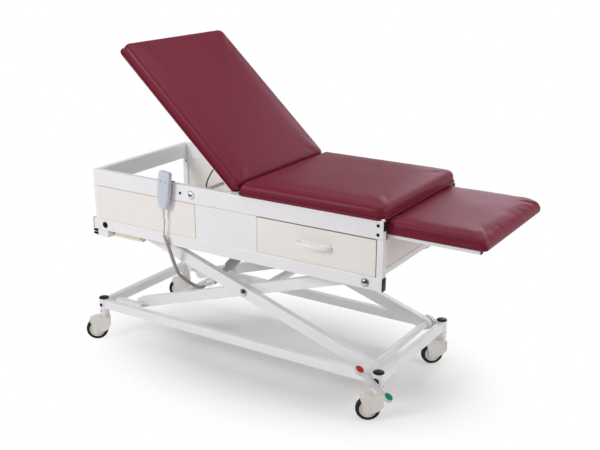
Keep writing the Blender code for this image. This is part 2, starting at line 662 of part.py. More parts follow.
def brake():
    x = BASE_LENGTH / 2
    owner = body("brake", (x, 0, HEX_BAR_Z), tilt=PEDAL_TILT)
    outer = -(BASE_RAIL_Y + CORNER_TUBE_RADIUS + PEDAL_OFFSET)
    inner_end = BASE_RAIL_Y + CORNER_TUBE_RADIUS
    bm = bmesh.new()
    add_cylinder(bm, HEX_BAR_RADIUS, (0, outer - GAP, 0), (0, inner_end, 0), 6)
    finish("brake_bar", bm, STEEL, owner)

    bm = bmesh.new()
    reach = PEDAL_HALF_LENGTH + 0.5 * PEDAL_WIDTH
    half = PEDAL_THICKNESS / 2
    top = half + 0.35 * PEDAL_THICKNESS
    waist = [(-reach, -half), (-0.4 * reach, -half), (0, -top), (0.4 * reach, -half), (reach, -half),
             (reach, half), (0.4 * reach, half), (0, top), (-0.4 * reach, half), (-reach, half)]
    near = outer - GAP - PEDAL_WIDTH - GAP
    add_prism(bm, [waist], PEDAL_WIDTH, upright(near + PEDAL_WIDTH / 2))
    finish("brake_pedal", bm, PEDAL_GREY, owner, 0.003, 2, 30)
    for name, end, look in (("pedal_pad_red", -1, RED), ("pedal_pad_green", 1, GREEN)):
        bm = bmesh.new()
        seat = half + GAP
        add_cylinder(bm, PEDAL_PAD_RADIUS, (end * PEDAL_HALF_LENGTH, near + PEDAL_WIDTH / 2, seat),
                     (end * PEDAL_HALF_LENGTH, near + PEDAL_WIDTH / 2, seat + PEDAL_PAD_HEIGHT),
                     20, 0.9 * PEDAL_PAD_RADIUS)
        finish(name, bm, look, owner)


def outer_arms():
    owner = body("outer_arms", (PIVOT_X, 0, BASE_PIVOT_Z), tilt=ARM_ANGLE)
    middle = -ARM_HALF
    end = -2 * ARM_HALF
    inner_face = OUTER_ARM_Y - ARM_THICKNESS
    bm = bmesh.new()
    loops = [obround((end, 0), (0, 0), OUTER_ARM_HEIGHT / 2), circle((middle, 0), PIN_RADIUS + GAP)]
    for side in SIDES:
        add_prism(bm, loops, ARM_THICKNESS, upright(side * (OUTER_ARM_Y - ARM_THICKNESS / 2)))
    arms = finish("outer_arms", bm, WHITE, owner)

    welded = bmesh.new()
    tube_x = middle - OUTER_CROSS_TUBE
    add_cylinder(welded, CROSS_TUBE_RADIUS, (tube_x, -inner_face - WELD, 0), (tube_x, inner_face + WELD, 0))
    shoulder = OUTER_ARM_Y + GAP
    shaft_end = BASE_RAIL_IN - GAP
    half_profile = [(BASE_SHAFT_RADIUS, shoulder), (BASE_SHAFT_END_RADIUS, shoulder),
                    (BASE_SHAFT_END_RADIUS, shaft_end), (0, shaft_end)]
    profile = [(radius, -place) for radius, place in reversed(half_profile)] + half_profile
    add_turned(welded, profile, (0, 0, 0), (0, 1, 0), 20)
    stop = LOWER_RAIL_IN - GAP - GUIDE_BACK - GAP
    for side in SIDES:
        add_cylinder(welded, BUSH_RADIUS, (end, side * (OUTER_ARM_Y - WELD), 0), (end, side * stop, 0), 18)
    weld(arms, welded)

    pin_in = INNER_ARM_Y - ARM_THICKNESS
    head = OUTER_ARM_Y + GAP
    profile = [(0, pin_in), (PIN_RADIUS, pin_in), (PIN_RADIUS, head), (DOME_RADIUS, head)]
    profile += dome(head)
    for name, side in (("near", -1), ("far", 1)):
        bm = bmesh.new()
        add_turned(bm, profile, (middle, 0, 0), (0, side, 0), 16)
        finish("centre_pin_" + name, bm, CHROME, owner)


def dome(height):
    """The rounded part of a chrome cap's profile, from its rim to its top."""
    bend = [(DOME_RADIUS * cos(t), height + DOME_HEIGHT * sin(t)) for t in (0.4, 0.85)]
    return bend + [(0, height + DOME_HEIGHT)]


def inner_arms():
    owner = body("inner_arms", CENTRE, tilt=-ARM_ANGLE)
    inner_face = INNER_ARM_Y - ARM_THICKNESS
    bm = bmesh.new()
    loops = [obround((-ARM_HALF, 0), (ARM_HALF, 0), INNER_ARM_HEIGHT / 2),
             circle((ARM_HALF, 0), UPPER_SHAFT_RADIUS + RUNNING_GAP, 20),
             circle((0, 0), PIN_RADIUS + RUNNING_GAP)]
    for side in SIDES:
        add_prism(bm, loops, ARM_THICKNESS, upright(side * (INNER_ARM_Y - ARM_THICKNESS / 2)))
    arms = finish("inner_arms", bm, WHITE, owner)

    welded = bmesh.new()
    for x in (-INNER_LOWER_TUBE, INNER_UPPER_TUBE):
        add_cylinder(welded, CROSS_TUBE_RADIUS, (x, -inner_face - WELD, 0), (x, inner_face + WELD, 0))
    stop = BASE_RAIL_IN - TRACK_WALL - GAP
    for side in SIDES:
        add_cylinder(welded, BUSH_RADIUS, (-ARM_HALF, side * (INNER_ARM_Y - WELD), 0),
                     (-ARM_HALF, side * stop, 0), 18)
    weld(arms, welded)
    lugs = bmesh.new()
    lug_pair(lugs, 0, EYE_WIDTH, (-ACTUATOR_LOWER, 0), (-INNER_LOWER_TUBE, 0))
    weld(arms, lugs)
    socket = bmesh.new()
    add_cylinder(socket, CORD_CONNECTOR_RADIUS, (CORD_SOCKET.x, CORD_SOCKET.y, 0),
                 (CORD_SOCKET.x, -EYE_WIDTH / 2 - GAP - LUG_THICKNESS / 2, 0), 14)
    weld(arms, socket)
    return owner


def actuator():
    lower = CENTRE + Matrix.Rotation(-ARM_ANGLE, 3, "Y") @ Vector((-ACTUATOR_LOWER, 0, 0))
    upper = ACTUATOR_UPPER
    owner = body("actuator_body", upper, tilt=direction_tilt(upper, lower))
    bm = bmesh.new()
    eye(bm, EYE_WIDTH)
    case = finish("actuator_body", bm, GREY, owner)
    motor_start = 0.8 * EYE_RADIUS
    motor_end = motor_start + ACTUATOR_MOTOR_LENGTH
    half = ACTUATOR_MOTOR_SIZE / 2
    narrow = EYE_WIDTH / 2 - 2 * GAP
    clear = LUG_RADIUS + GAP
    motor = bmesh.new()
    loops = [[(-narrow, motor_start), (narrow, motor_start), (narrow, clear), (half, clear + half - narrow),
              (half, motor_end), (-half, motor_end), (-half, clear + half - narrow), (-narrow, clear)]]
    add_prism(motor, loops, ACTUATOR_MOTOR_SIZE, across(0))
    weld(case, motor)
    tube_start = motor_end - WELD
    floor = tube_start + 0.012
    sleeve = bmesh.new()
    profile = ((0, tube_start), (ACTUATOR_TUBE_RADIUS, tube_start), (ACTUATOR_TUBE_RADIUS, ACTUATOR_TUBE_END),
               (ACTUATOR_BORE_RADIUS, ACTUATOR_TUBE_END), (ACTUATOR_BORE_RADIUS, floor), (0, floor))
    add_turned(sleeve, profile, (0, 0, 0), (0, 0, 1), 20)
    weld(case, sleeve)

    owner = body("actuator_rod", lower, tilt=direction_tilt(lower, upper))
    bm = bmesh.new()
    eye(bm, EYE_WIDTH)
    rod = finish("actuator_rod", bm, GREY, owner)
    push_tube = bmesh.new()
    add_cylinder(push_tube, ACTUATOR_ROD_RADIUS, (0, 0, 0.6 * EYE_RADIUS), (0, 0, ACTUATOR_ROD_LENGTH), 18)
    weld(rod, push_tube)


def upper_rail(owner):
    """The rail round three sides, with the leg rest's guides and the hinge plates on it."""
    inside = FRAME_HEAD + UPPER_RAIL_WIDTH
    outline = [(FRAME_FOOT, -UPPER_RAIL_IN), (FRAME_FOOT, -HALF_FRAME), (FRAME_HEAD, -HALF_FRAME),
               (FRAME_HEAD, HALF_FRAME), (FRAME_FOOT, HALF_FRAME), (FRAME_FOOT, UPPER_RAIL_IN),
               (inside, UPPER_RAIL_IN), (inside, -UPPER_RAIL_IN)]
    bm = bmesh.new()
    add_prism(bm, [outline], UPPER_RAIL_HEIGHT, Matrix.Translation((0, 0, UPPER_MIDDLE)))
    rail = finish("upper_rail", bm, WHITE, owner, RAIL_EDGE)

    welded = bmesh.new()
    plate = HINGE_PLATE_RADIUS
    plate_in = BACKREST_BAR_Y + BACKREST_BAR_WIDTH / 2 + GAP
    back = UPPER_RAIL_IN + WELD
    loops = [obround((HINGE.x, UPPER_Z0 + plate + RAIL_EDGE), (HINGE.x, HINGE.z), plate),
             circle((HINGE.x, HINGE.z), HINGE_PIN_RADIUS + RUNNING_GAP)]
    rest = leg_rail_z() - GAP
    top = UPPER_Z1 - 2 * RAIL_EDGE
    start = HINGE.x + 2.5 * plate
    end = FRAME_FOOT - POST_WIDTH - 4 * GAP
    for side in SIDES:
        add_prism(welded, loops, back - plate_in, upright(side * (plate_in + back) / 2))
        lip = LEG_RAIL_Y - LEG_RAIL_WIDTH / 2
        web = UPPER_RAIL_IN - LEG_GUIDE_WALL
        angle = [(back, rest - LEG_GUIDE_WALL), (lip, rest - LEG_GUIDE_WALL), (lip, rest), (web, rest),
                 (web, top), (back, top)]
        add_prism(welded, [[(side * a, b) for a, b in angle]], end - start, across((start + end) / 2))
    weld(rail, welded)
    holes = bmesh.new()
    add_cylinder(holes, REST_BAR_RADIUS + GAP, (REST_BAR_X, -FRAME_WIDTH, UPPER_MIDDLE),
                 (REST_BAR_X, FRAME_WIDTH, UPPER_MIDDLE), 16)
    cut(rail, holes)


def lower_frame(owner):
    for name, side in (("near", -1), ("far", 1)):
        low, high = sorted((side * LOWER_RAIL_IN, side * HALF_FRAME))
        bm = bmesh.new()
        add_box(bm, (FRAME_HEAD - HEAD_RAIL_OVERHANG, low, LOWER_Z0), (FRAME_FOOT, high, LOWER_Z1))
        frame = finish("side_frame_" + name, bm, WHITE, owner, RAIL_EDGE)
        posts = bmesh.new()
        for x in (HEAD_POST, FRAME_FOOT - POST_WIDTH - GAP):
            add_box(posts, (x, low + WELD, LOWER_Z1 - 2 * RAIL_EDGE),
                    (x + POST_WIDTH, high - WELD, UPPER_Z0 - GAP))
        weld(frame, posts)
        holes = bmesh.new()
        add_cylinder(holes, UPPER_SHAFT_RADIUS + GAP, (PIVOT_X, low - WELD, UPPER_PIVOT_Z),
                     (PIVOT_X, high + WELD, UPPER_PIVOT_Z), 20)
        cut(frame, holes)

    inside = LOWER_RAIL_IN - GAP
    bm = bmesh.new()
    foot = FRAME_FOOT - PLUG_THICKNESS
    add_box(bm, (foot - POST_WIDTH, -inside, FOOT_RAIL_TOP - FOOT_RAIL_HEIGHT), (foot, inside, FOOT_RAIL_TOP))
    finish("foot_cross_rail", bm, WHITE, owner, RAIL_EDGE)

    bm = bmesh.new()
    half = MIDDLE_BEAM_WIDTH / 2
    add_box(bm, (MIDDLE_BEAM_X - half, -inside, LOWER_Z1 - MIDDLE_BEAM_WIDTH),
            (MIDDLE_BEAM_X + half, inside, LOWER_Z1))
    beam = finish("middle_beam", bm, WHITE, owner, RAIL_EDGE)
    lugs = bmesh.new()
    foot = (MIDDLE_BEAM_X, LOWER_Z1 - WELD)
    lug_pair(lugs, 0, EYE_WIDTH, (ACTUATOR_UPPER.x, ACTUATOR_UPPER.z), foot)
    lug_pair(lugs, SPRING_Y, EYE_WIDTH, (SPRING_LOWER.x, SPRING_LOWER.z), foot)
    weld(beam, lugs)

    bm = bmesh.new()
    head = FRAME_HEAD + HEAD_TUBE_INSET
    top = LOWER_Z0 - GAP
    add_box(bm, (head, -HALF_FRAME + GAP, top - HEAD_TUBE_HEIGHT),
            (head + HEAD_TUBE_WIDTH, HALF_FRAME - GAP, top))
    tube_piece = finish("head_cross_tube", bm, WHITE, owner, RAIL_EDGE)
    buffers = bmesh.new()
    for side in SIDES:
        y = side * (HALF_FRAME - 1.5 * BUFFER_RADIUS)
        for drop in (0.27, 0.73):
            z = top - drop * HEAD_TUBE_HEIGHT
            add_cylinder(buffers, 0.8 * BUFFER_RADIUS, (head - BUFFER_LENGTH, y, z), (head + WELD, y, z),
                         12, BUFFER_RADIUS)
    weld(tube_piece, buffers)


def panels(owner):
    low = LOWER_Z1 + GAP
    high = UPPER_Z0 - GAP
    inner = HALF_FRAME - PANEL_THICKNESS
    for name, side in (("near", -1), ("far", 1)):
        y0, y1 = sorted((side * HALF_FRAME, side * inner))
        bm = bmesh.new()
        add_box(bm, (HEAD_BAY[0], y0, low), (HEAD_BAY[1], y1, high))
        finish("panel_" + name, bm, CREAM, owner)

    ledge_top = rib_bottom() - GAP
    ledge_low = ledge_top - LEDGE_THICKNESS
    ledge = FRONT_GAP + RUNNER_WIDTH - WELD
    wide = LOWER_RAIL_IN - GAP
    foot = FRAME_FOOT - PLUG_THICKNESS
    wall = FRAME_FOOT - POST_WIDTH
    wall_top = leg_rail_z() - LEG_GUIDE_WALL - 3 * GAP
    rest = FOOT_RAIL_TOP + GAP
    section = [(foot, rest), (foot, wall_top), (wall, wall_top), (wall, ledge_top), (wall - ledge, ledge_top),
               (wall - ledge, ledge_low), (wall, ledge_low), (wall, rest)]
    bm = bmesh.new()
    add_prism(bm, [section], 2 * wide, upright(0))
    finish("foot_panel", bm, CREAM, owner)

    x0, x1 = MIDDLE_PANEL_X
    bm = bmesh.new()
    for side in SIDES:
        y0, y1 = sorted((side * HALF_FRAME, side * inner))
        add_box(bm, (x0, y0, low), (x1, y1, high))
    box = finish("middle_box", bm, WHITE, owner)
    walls = bmesh.new()
    for x in (x0 + WELD, x1 - TRAY_WALL - WELD):
        add_box(walls, (x, -inner - WELD, low + WELD), (x + TRAY_WALL, inner + WELD, wall_top))
    weld(box, walls)
    ledges = bmesh.new()
    add_box(ledges, (x1 - 2 * WELD, -wide, ledge_low), (x1 + ledge, wide, ledge_top))
    weld(box, ledges)


def fittings(owner):
    for name, radius, x, z in (("upper_pivot_shaft", UPPER_SHAFT_RADIUS, PIVOT_X, UPPER_PIVOT_Z),
                               ("rest_bar", REST_BAR_RADIUS, REST_BAR_X, UPPER_MIDDLE)):
        face = HALF_FRAME + GAP
        profile = [(0, -face - DOME_HEIGHT)] + [(r, -h) for r, h in reversed(dome(face)[:-1])]
        profile += [(DOME_RADIUS, -face), (radius, -face), (radius, face), (DOME_RADIUS, face)] + dome(face)
        bm = bmesh.new()
        add_turned(bm, profile, (x, 0, z), (0, 1, 0), 16)
        finish(name, bm, CHROME, owner)

    guide_head = SLIDE_X - LIFT_SLIDE_TRAVEL - BUSH_RADIUS - GUIDE_END_WALL
    loops = [obround((SLIDE_X - LIFT_SLIDE_TRAVEL - 2 * GAP, UPPER_PIVOT_Z),
                     (SLIDE_X + 2 * GAP, UPPER_PIVOT_Z), BUSH_RADIUS + RUNNING_GAP, 8)]
    for name, side in (("near", -1), ("far", 1)):
        back = side * (LOWER_RAIL_IN - GAP)
        front = back - side * GUIDE_THICKNESS
        low, high = sorted((back, front))
        bm = bmesh.new()
        add_box(bm, (guide_head, low, LOWER_Z0 - GUIDE_DROP),
                (guide_head + GUIDE_LENGTH, high, LOWER_Z1))
        guide = finish("slide_guide_" + name, bm, IVORY, owner)
        slot = bmesh.new()
        add_prism(slot, loops, 2 * (GUIDE_THICKNESS - GUIDE_BACK), upright(front))
        cut(guide, slot)


def leg_rail_z():
    """Underside of the leg rest's rails."""
    return UPPER_Z1 - LEG_SEAT_GAP - LEG_PAD_THICKNESS - GAP - LEG_RAIL_HEIGHT


def rib_bottom():
    """Underside of the ribs that carry a drawer on its ledges."""
    return LOWER_Z1 + TRAY_CLEARANCE + TRAY_HEIGHT / 2


def drawer(name, side, frame_owner):
    """Side -1 opens on the near side, +1 on the far side."""
    owner = body("drawer_" + name, parent=frame_owner)
    start, end = DRAWER_BAY
    face = side * HALF_FRAME
    back = face - side * FRONT_THICKNESS
    bm = bmesh.new()
    y0, y1 = sorted((face, back))
    add_box(bm, (start, y0, LOWER_Z1 + FRONT_GAP), (end, y1, UPPER_Z0 - FRONT_GAP))
    finish("drawer_front_" + name, bm, CREAM, owner, 0.002)

    low = LOWER_Z1 + TRAY_CLEARANCE
    high = low + TRAY_HEIGHT
    near = back - side * GAP
    far = near - side * TRAY_DEPTH
    bm = bmesh.new()
    y0, y1 = sorted((near, far))
    side_x0 = start + RUNNER_WIDTH
    side_x1 = end - RUNNER_WIDTH
    add_box(bm, (side_x0, y0, low), (side_x1, y1, high))
    tray = finish("drawer_tray_" + name, bm, WHITE, owner)
    hollow = bmesh.new()
    add_box(hollow, (side_x0 + TRAY_WALL, y0 + TRAY_WALL, low + TRAY_WALL),
            (side_x1 - TRAY_WALL, y1 - TRAY_WALL, high + TRAY_WALL))
    cut(tray, hollow)
    ribs = bmesh.new()
    for x0, x1 in ((start, side_x0 + WELD), (side_x1 - WELD, end)):
        add_box(ribs, (x0, y0 + WELD, rib_bottom()), (x1, y1 - WELD, rib_bottom() + RIB_HEIGHT))
    weld(tray, ribs)

    middle = (start + end) / 2
    z = (LOWER_Z1 + UPPER_Z0) / 2 + 0.006
    root_y = face + side * GAP
    foot = HANDLE_RADIUS
    points = [(middle + HANDLE_SPAN / 2 * sin(t), root_y + side * (foot + (HANDLE_BOW - foot) * cos(t)), z)
              for t in [radians(a) for a in range(-90, 91, 15)]]
    points = [(points[0][0], root_y, z)] + points + [(points[-1][0], root_y, z)]
    tube("drawer_handle_" + name, points, HANDLE_RADIUS, WHITE, owner, 2)


def cushion(name, size, owner, low_end, bottom, end_edge=PAD_TOP_EDGE):
    """A stuffed pad: crowned top, rounded edges, sides drawn in towards the underside."""
    length, width, thickness = size
    bm = bmesh.new()
    add_box(bm, (low_end, -width / 2, bottom), (low_end + length, width / 2, bottom + thickness))
    for share in (0.2, 0.5, 0.8):
        across_length = (low_end + share * length, 0, 0)
        across_width = (0, (share - 0.5) * width, 0)
        for place, normal in ((across_length, (1, 0, 0)), (across_width, (0, 1, 0))):
            geometry = bm.verts[:] + bm.edges[:] + bm.faces[:]
            bmesh.ops.bisect_plane(bm, geom=geometry, plane_co=place, plane_no=normal)
    weights = bm.edges.layers.float.new("bevel_weight_edge")
    largest = max(end_edge, PAD_CORNER)
    for edge in bm.edges:
        a, b = (vert.co for vert in edge.verts)
        along = abs(a.x - b.x) > 1e-6
        middle = (a + b) / 2
        at_end = min(middle.x - low_end, low_end + length - middle.x) < 1e-6
        at_side = width / 2 - abs(middle.y) < 1e-6
        on_top = middle.z > bottom + thickness - 1e-6
        below = middle.z < bottom + 1e-6
        if not (on_top or below) and at_end and at_side:
            edge[weights] = PAD_CORNER / largest
        elif below and (at_end or at_side):
            edge[weights] = PAD_BOTTOM_EDGE / largest
        elif on_top and at_end and not along and middle.x > low_end + length / 2:
            edge[weights] = end_edge / largest
        elif on_top and (at_end or at_side):
            edge[weights] = PAD_TOP_EDGE / largest
    for vert in bm.verts:
        along = 2 * (vert.co.x - low_end) / length - 1
        wide = 2 * vert.co.y / width
        high = (vert.co.z - bottom) / thickness
        vert.co.z -= PAD_CROWN * max(along ** 2, wide ** 2) * high
        vert.co.y -= PAD_DRAW_IN * wide ** 3 * (1 - high)
        vert.co.x -= PAD_DRAW_IN * along ** 3 * (1 - high)
    made = finish(name, bm, VINYL, owner, largest, 3)
    made.modifiers["edges"].limit_method = "WEIGHT"
    return made


def seat(owner):
    bm = bmesh.new()
    bottom = UPPER_Z1 + GAP
    half = HALF_FRAME
    top = bottom + BOARD_THICKNESS
    add_box(bm, (SEAT_HEAD + PAD_DRAW_IN, -half, bottom), (SEAT_FOOT - PAD_DRAW_IN, half, top))
    finish("seat_board", bm, WHITE, owner, 0.002)
    cushion("seat_pad", (SEAT_LENGTH, PAD_WIDTH, PAD_THICKNESS), owner, SEAT_HEAD, top + GAP)


def backrest():
    owner = body("backrest", HINGE, tilt=BACKREST_ANGLE)
    board_low = -BOARD_THICKNESS / 2
    board_high = BOARD_THICKNESS / 2
    end = -HINGE_END_SPACE
    clear = HINGE_PLATE_RADIUS + 0.002
    bm = bmesh.new()
    head = end - BACKREST_LENGTH
    add_box(bm, (head + PAD_DRAW_IN, -HALF_FRAME, board_low), (-clear, HALF_FRAME, board_high))
    finish("backrest_board", bm, WHITE, owner, 0.002)
    cushion("backrest_pad", (BACKREST_LENGTH, PAD_WIDTH, PAD_THICKNESS), owner, head, board_high + GAP)

    rest_z = UPPER_MIDDLE + REST_BAR_RADIUS + GAP - HINGE.z
    bar_top = board_low - GAP
    half = BACKREST_BAR_WIDTH / 2
    outline = [(-BACKREST_BAR_LENGTH, bar_top), (-BACKREST_BAR_LENGTH, 0.5 * (bar_top + rest_z)),
               (-BACKREST_BAR_LENGTH + 0.04, rest_z), (-0.03, rest_z)]
    outline += arc((0, 0), 2 * HINGE_PIN_RADIUS, radians(-60), radians(170), 8)
    outline += [(-clear + GAP, 0), (-clear + GAP, bar_top)]
    bm = bmesh.new()
    for side in SIDES:
        add_prism(bm, [outline], BACKREST_BAR_WIDTH, upright(side * BACKREST_BAR_Y))
    frame = finish("backrest_frame", bm, STEEL, owner)

    welded = bmesh.new()
    for side in SIDES:
        pin_in = side * BACKREST_BAR_Y
        pin_out = side * (UPPER_RAIL_IN - GAP)
        add_cylinder(welded, HINGE_PIN_RADIUS, (0, pin_in, 0), (0, pin_out, 0), 14)
    inside = BACKREST_BAR_Y - half + WELD
    beam_x = SPRING_EYE.x - 3 * LUG_RADIUS
    beam_top = bar_top - WELD
    add_box(welded, (beam_x - LUG_RADIUS, -inside, beam_top - 1.2 * LUG_RADIUS),
            (beam_x + LUG_RADIUS, inside, beam_top))
    weld(frame, welded)
    lugs = bmesh.new()
    foot = (beam_x, bar_top - LUG_RADIUS - 2 * WELD)
    lug_pair(lugs, SPRING_Y, EYE_WIDTH, (SPRING_EYE.x, SPRING_EYE.z), foot)
    weld(frame, lugs)
    return owner


def gas_spring():
    upper = HINGE + Matrix.Rotation(BACKREST_ANGLE, 3, "Y") @ SPRING_EYE
    lower = SPRING_LOWER
    owner = body("gas_cylinder", lower, tilt=direction_tilt(lower, upper))
    bm = bmesh.new()
    eye(bm, EYE_WIDTH)
    cylinder = finish("gas_cylinder", bm, BLACK, owner)
    start = 0.6 * EYE_RADIUS
    floor = EYE_RADIUS + 0.012
    sleeve = bmesh.new()
    end = SPRING_CYLINDER_LENGTH
    profile = ((0, start), (SPRING_CYLINDER_RADIUS, start), (SPRING_CYLINDER_RADIUS, end),
               (SPRING_BORE_RADIUS, end), (SPRING_BORE_RADIUS, floor), (0, floor))
    add_turned(sleeve, profile, (0, 0, 0), (0, 0, 1), 18)
    weld(cylinder, sleeve)

    owner = body("gas_rod", upper, tilt=direction_tilt(upper, lower))
    bm = bmesh.new()
    eye(bm, EYE_WIDTH)
    rod = finish("gas_rod", bm, CHROME, owner)
    piston = bmesh.new()
    add_cylinder(piston, SPRING_ROD_RADIUS, (0, 0, 0.6 * EYE_RADIUS), (0, 0, SPRING_ROD_LENGTH), 14)
    weld(rod, piston)


def leg_rest(frame_owner):
    owner = body("leg_rest", parent=frame_owner)
    rail_low = leg_rail_z()
    rail_high = rail_low + LEG_RAIL_HEIGHT
    half = LEG_RAIL_WIDTH / 2
    start = LEG_RAIL_END_X - LEG_RAIL_LENGTH
    bm = bmesh.new()
    for name, side in (("near", -1), ("far", 1)):
        y = side * LEG_RAIL_Y
        add_box(bm, (start, y - half, rail_low), (LEG_RAIL_END_X, y + half, rail_high))
        cap = bmesh.new()
        cap_x = LEG_RAIL_END_X + GAP
        add_box(cap, (cap_x, y - half, rail_low), (cap_x + PLUG_THICKNESS, y + half, rail_high))
        finish("leg_cap_" + name, cap, BLACK, owner)
    frame = finish("leg_rest_frame", bm, WHITE, owner)
    inside = LEG_RAIL_Y - half + WELD
    bars = bmesh.new()
    for x in (start + half, LEG_RAIL_END_X - 2 * LEG_RAIL_WIDTH):
        add_box(bars, (x, -inside, rail_low + WELD), (x + LEG_RAIL_WIDTH, inside, rail_high - WELD))
    weld(frame, bars)
    cushion("leg_rest_pad", (LEG_PAD_LENGTH, LEG_PAD_WIDTH, LEG_PAD_THICKNESS), owner,
            LEG_PAD_END_X - LEG_PAD_LENGTH, rail_high + GAP, LEG_PAD_END_EDGE)


def handset(owner):
    middle_z = HANDSET_TOP_Z - HANDSET_LENGTH / 2
    middle_y = HANDSET_BACK_Y - HANDSET_THICKNESS / 2
    place = Matrix.Translation((HANDSET_X, middle_y, middle_z)) @ Matrix.Rotation(HANDSET_TILT, 4, "Y")
    flat = Matrix.Rotation(radians(90), 4, "X")
    half = HANDSET_WIDTH / 2
    low = half - HANDSET_TAPER
    top_z = HANDSET_LENGTH / 2
    corner = 0.3 * half
    outline = arc((half - corner, top_z - corner), corner, 0, pi / 2, 3)
    outline += arc((-half + corner, top_z - corner), corner, pi / 2, pi, 3)
    outline += arc((-low + 2 * corner, -top_z + 2 * corner), 2 * corner, pi, 1.5 * pi, 4)
    outline += arc((low - 2 * corner, -top_z + 2 * corner), 2 * corner, 1.5 * pi, 2 * pi, 4)
    bm = bmesh.new()
    add_prism(bm, [outline], HANDSET_THICKNESS, place @ flat)
    case = finish("handset", bm, BLUE_GREY, owner, 0.004, 2, 50)
    relief_start = place @ Vector((0, 0, 2 * WELD - top_z))
    relief_end = relief_start - Vector((0, 0, RELIEF_LENGTH + 2 * WELD))
    relief = bmesh.new()
    add_cylinder(relief, RELIEF_RADIUS, relief_start, relief_end, 12, 0.65 * RELIEF_RADIUS)
    weld(case, relief)

    face = -HANDSET_THICKNESS / 2
    recesses = bmesh.new()
    for name, step in (("up", -0.5), ("down", 0.5)):
        centre = Vector((step * BUTTON_SPACING, face, top_z - BUTTON_DROP))
        floor = centre + Vector((0, BUTTON_STEM + BUTTON_TRAVEL + GAP, 0))
        mouth = centre - Vector((0, WELD, 0))
        add_cylinder(recesses, BUTTON_RADIUS + RUNNING_GAP, place @ mouth, place @ floor, 18)
        button = body("button_" + name, place @ centre, tilt=HANDSET_TILT, parent=owner)
        bm = bmesh.new()
        add_cylinder(bm, BUTTON_RADIUS, (0, BUTTON_STEM, 0), (0, -BUTTON_HEIGHT, 0), 18, 0.85 * BUTTON_RADIUS)
        finish("handset_button_" + name, bm, PEDAL_GREY, button)
    cut(case, recesses)

    bm = bmesh.new()
    outside = -(HALF_FRAME + GAP)
    inside = -(UPPER_RAIL_IN - GAP)
    top = UPPER_Z1 + GAP
    t = HOOK_THICKNESS
    front = outside - HOOK_STANDOFF
    strip = [(front, UPPER_Z1 - 0.045), (outside, UPPER_Z1 - 0.045), (outside, top), (inside, top),
             (inside, UPPER_Z1 - 0.020), (inside + t, UPPER_Z1 - 0.020), (inside + t, top + t),
             (front, top + t)]
    add_prism(bm, [strip], HOOK_WIDTH, across(HOOK_X))
    finish("handset_hook", bm, BLACK, owner)

    return relief_end + (relief_end - relief_start).normalized() * GAP


def cords(owner, arms, lead_start, backrest_body):
    """The handset's cord, straight and then curled, and the backrest's release cable."""
    socket = arms.matrix_world @ (CORD_SOCKET - Vector((0, GAP, 0)))
    edge = Vector((HANDSET_X, -HALF_FRAME, LOWER_Z1))
    bends = [edge + Vector(bend) for bend in CORD_BENDS]
    lead = smooth_route([lead_start, lead_start + Vector((0, 0, -0.012)), bends[0]], 0.012)
    route = smooth_route(bends + [socket + Vector(CORD_ENTRY), socket], 0.006)
    coil = helix(route, CURL_COUNT, CURL_RADIUS, CURL_POINTS)
    print("least gap between curls, mm:", round(1000 * least_gap(coil, CURL_POINTS, CURL_WIRE_RADIUS), 2))
    tube("handset_cord", lead[:-1] + coil, CURL_WIRE_RADIUS, CORD, owner, 1)

    y = -(BACKREST_BAR_Y - BACKREST_BAR_WIDTH / 2 - CABLE_RADIUS - GAP)
    anchor = backrest_body.matrix_world @ Vector((CABLE_ANCHOR[0], y, CABLE_ANCHOR[1]))
    bends = [(HINGE.x + x, y, HINGE.z + z) for x, z in CABLE_BENDS]
    tube("release_cable", smooth_route(bends + [anchor], 0.012), CABLE_RADIUS, BLACK, owner, 2)


def centre_on_footprint():
    """Moves the whole table so that the origin is under the middle of its outline, on the floor."""
    bpy.context.view_layer.update()
    graph = bpy.context.evaluated_depsgraph_get()
    low = Vector((1e9, 1e9, 1e9))
    high = -low
    for made in part_collection.objects:
        if made.type == "EMPTY" or made.name in CORD_NAMES:
            continue
        shape = made.evaluated_get(graph)
        mesh = shape.to_mesh()
        for vert in mesh.vertices:
            place = shape.matrix_world @ vert.co
            low = Vector(map(min, low, place))
            high = Vector(map(max, high, place))
        shape.to_mesh_clear()
    root.location = (-(low.x + high.x) / 2, -(low.y + high.y) / 2, -low.z)


base()
for corner_name, (corner_end, corner_side) in CORNERS.items():
    caster(corner_name, corner_end, corner_side)
brake()
outer_arms()
arms_body = inner_arms()
actuator()
lift_body = body("upper_frame", (PIVOT_X, 0, UPPER_PIVOT_Z))
frame_body = body("table_top", (-PIVOT_X, 0, -UPPER_PIVOT_Z), parent=lift_body)
upper_rail(frame_body)
lower_frame(frame_body)
panels(frame_body)
fittings(frame_body)
seat(frame_body)
drawer("near", -1, frame_body)
drawer("far", 1, frame_body)
backrest_body = backrest()
gas_spring()
leg_rest(frame_body)
lead_start = handset(frame_body)
bpy.context.view_layer.update()
cords(frame_body, arms_body, lead_start, backrest_body)
centre_on_footprint()
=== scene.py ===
from math import ceil, cos, exp, pi, radians, sin, sqrt

import bmesh
import bpy
from mathutils import Matrix, Vector


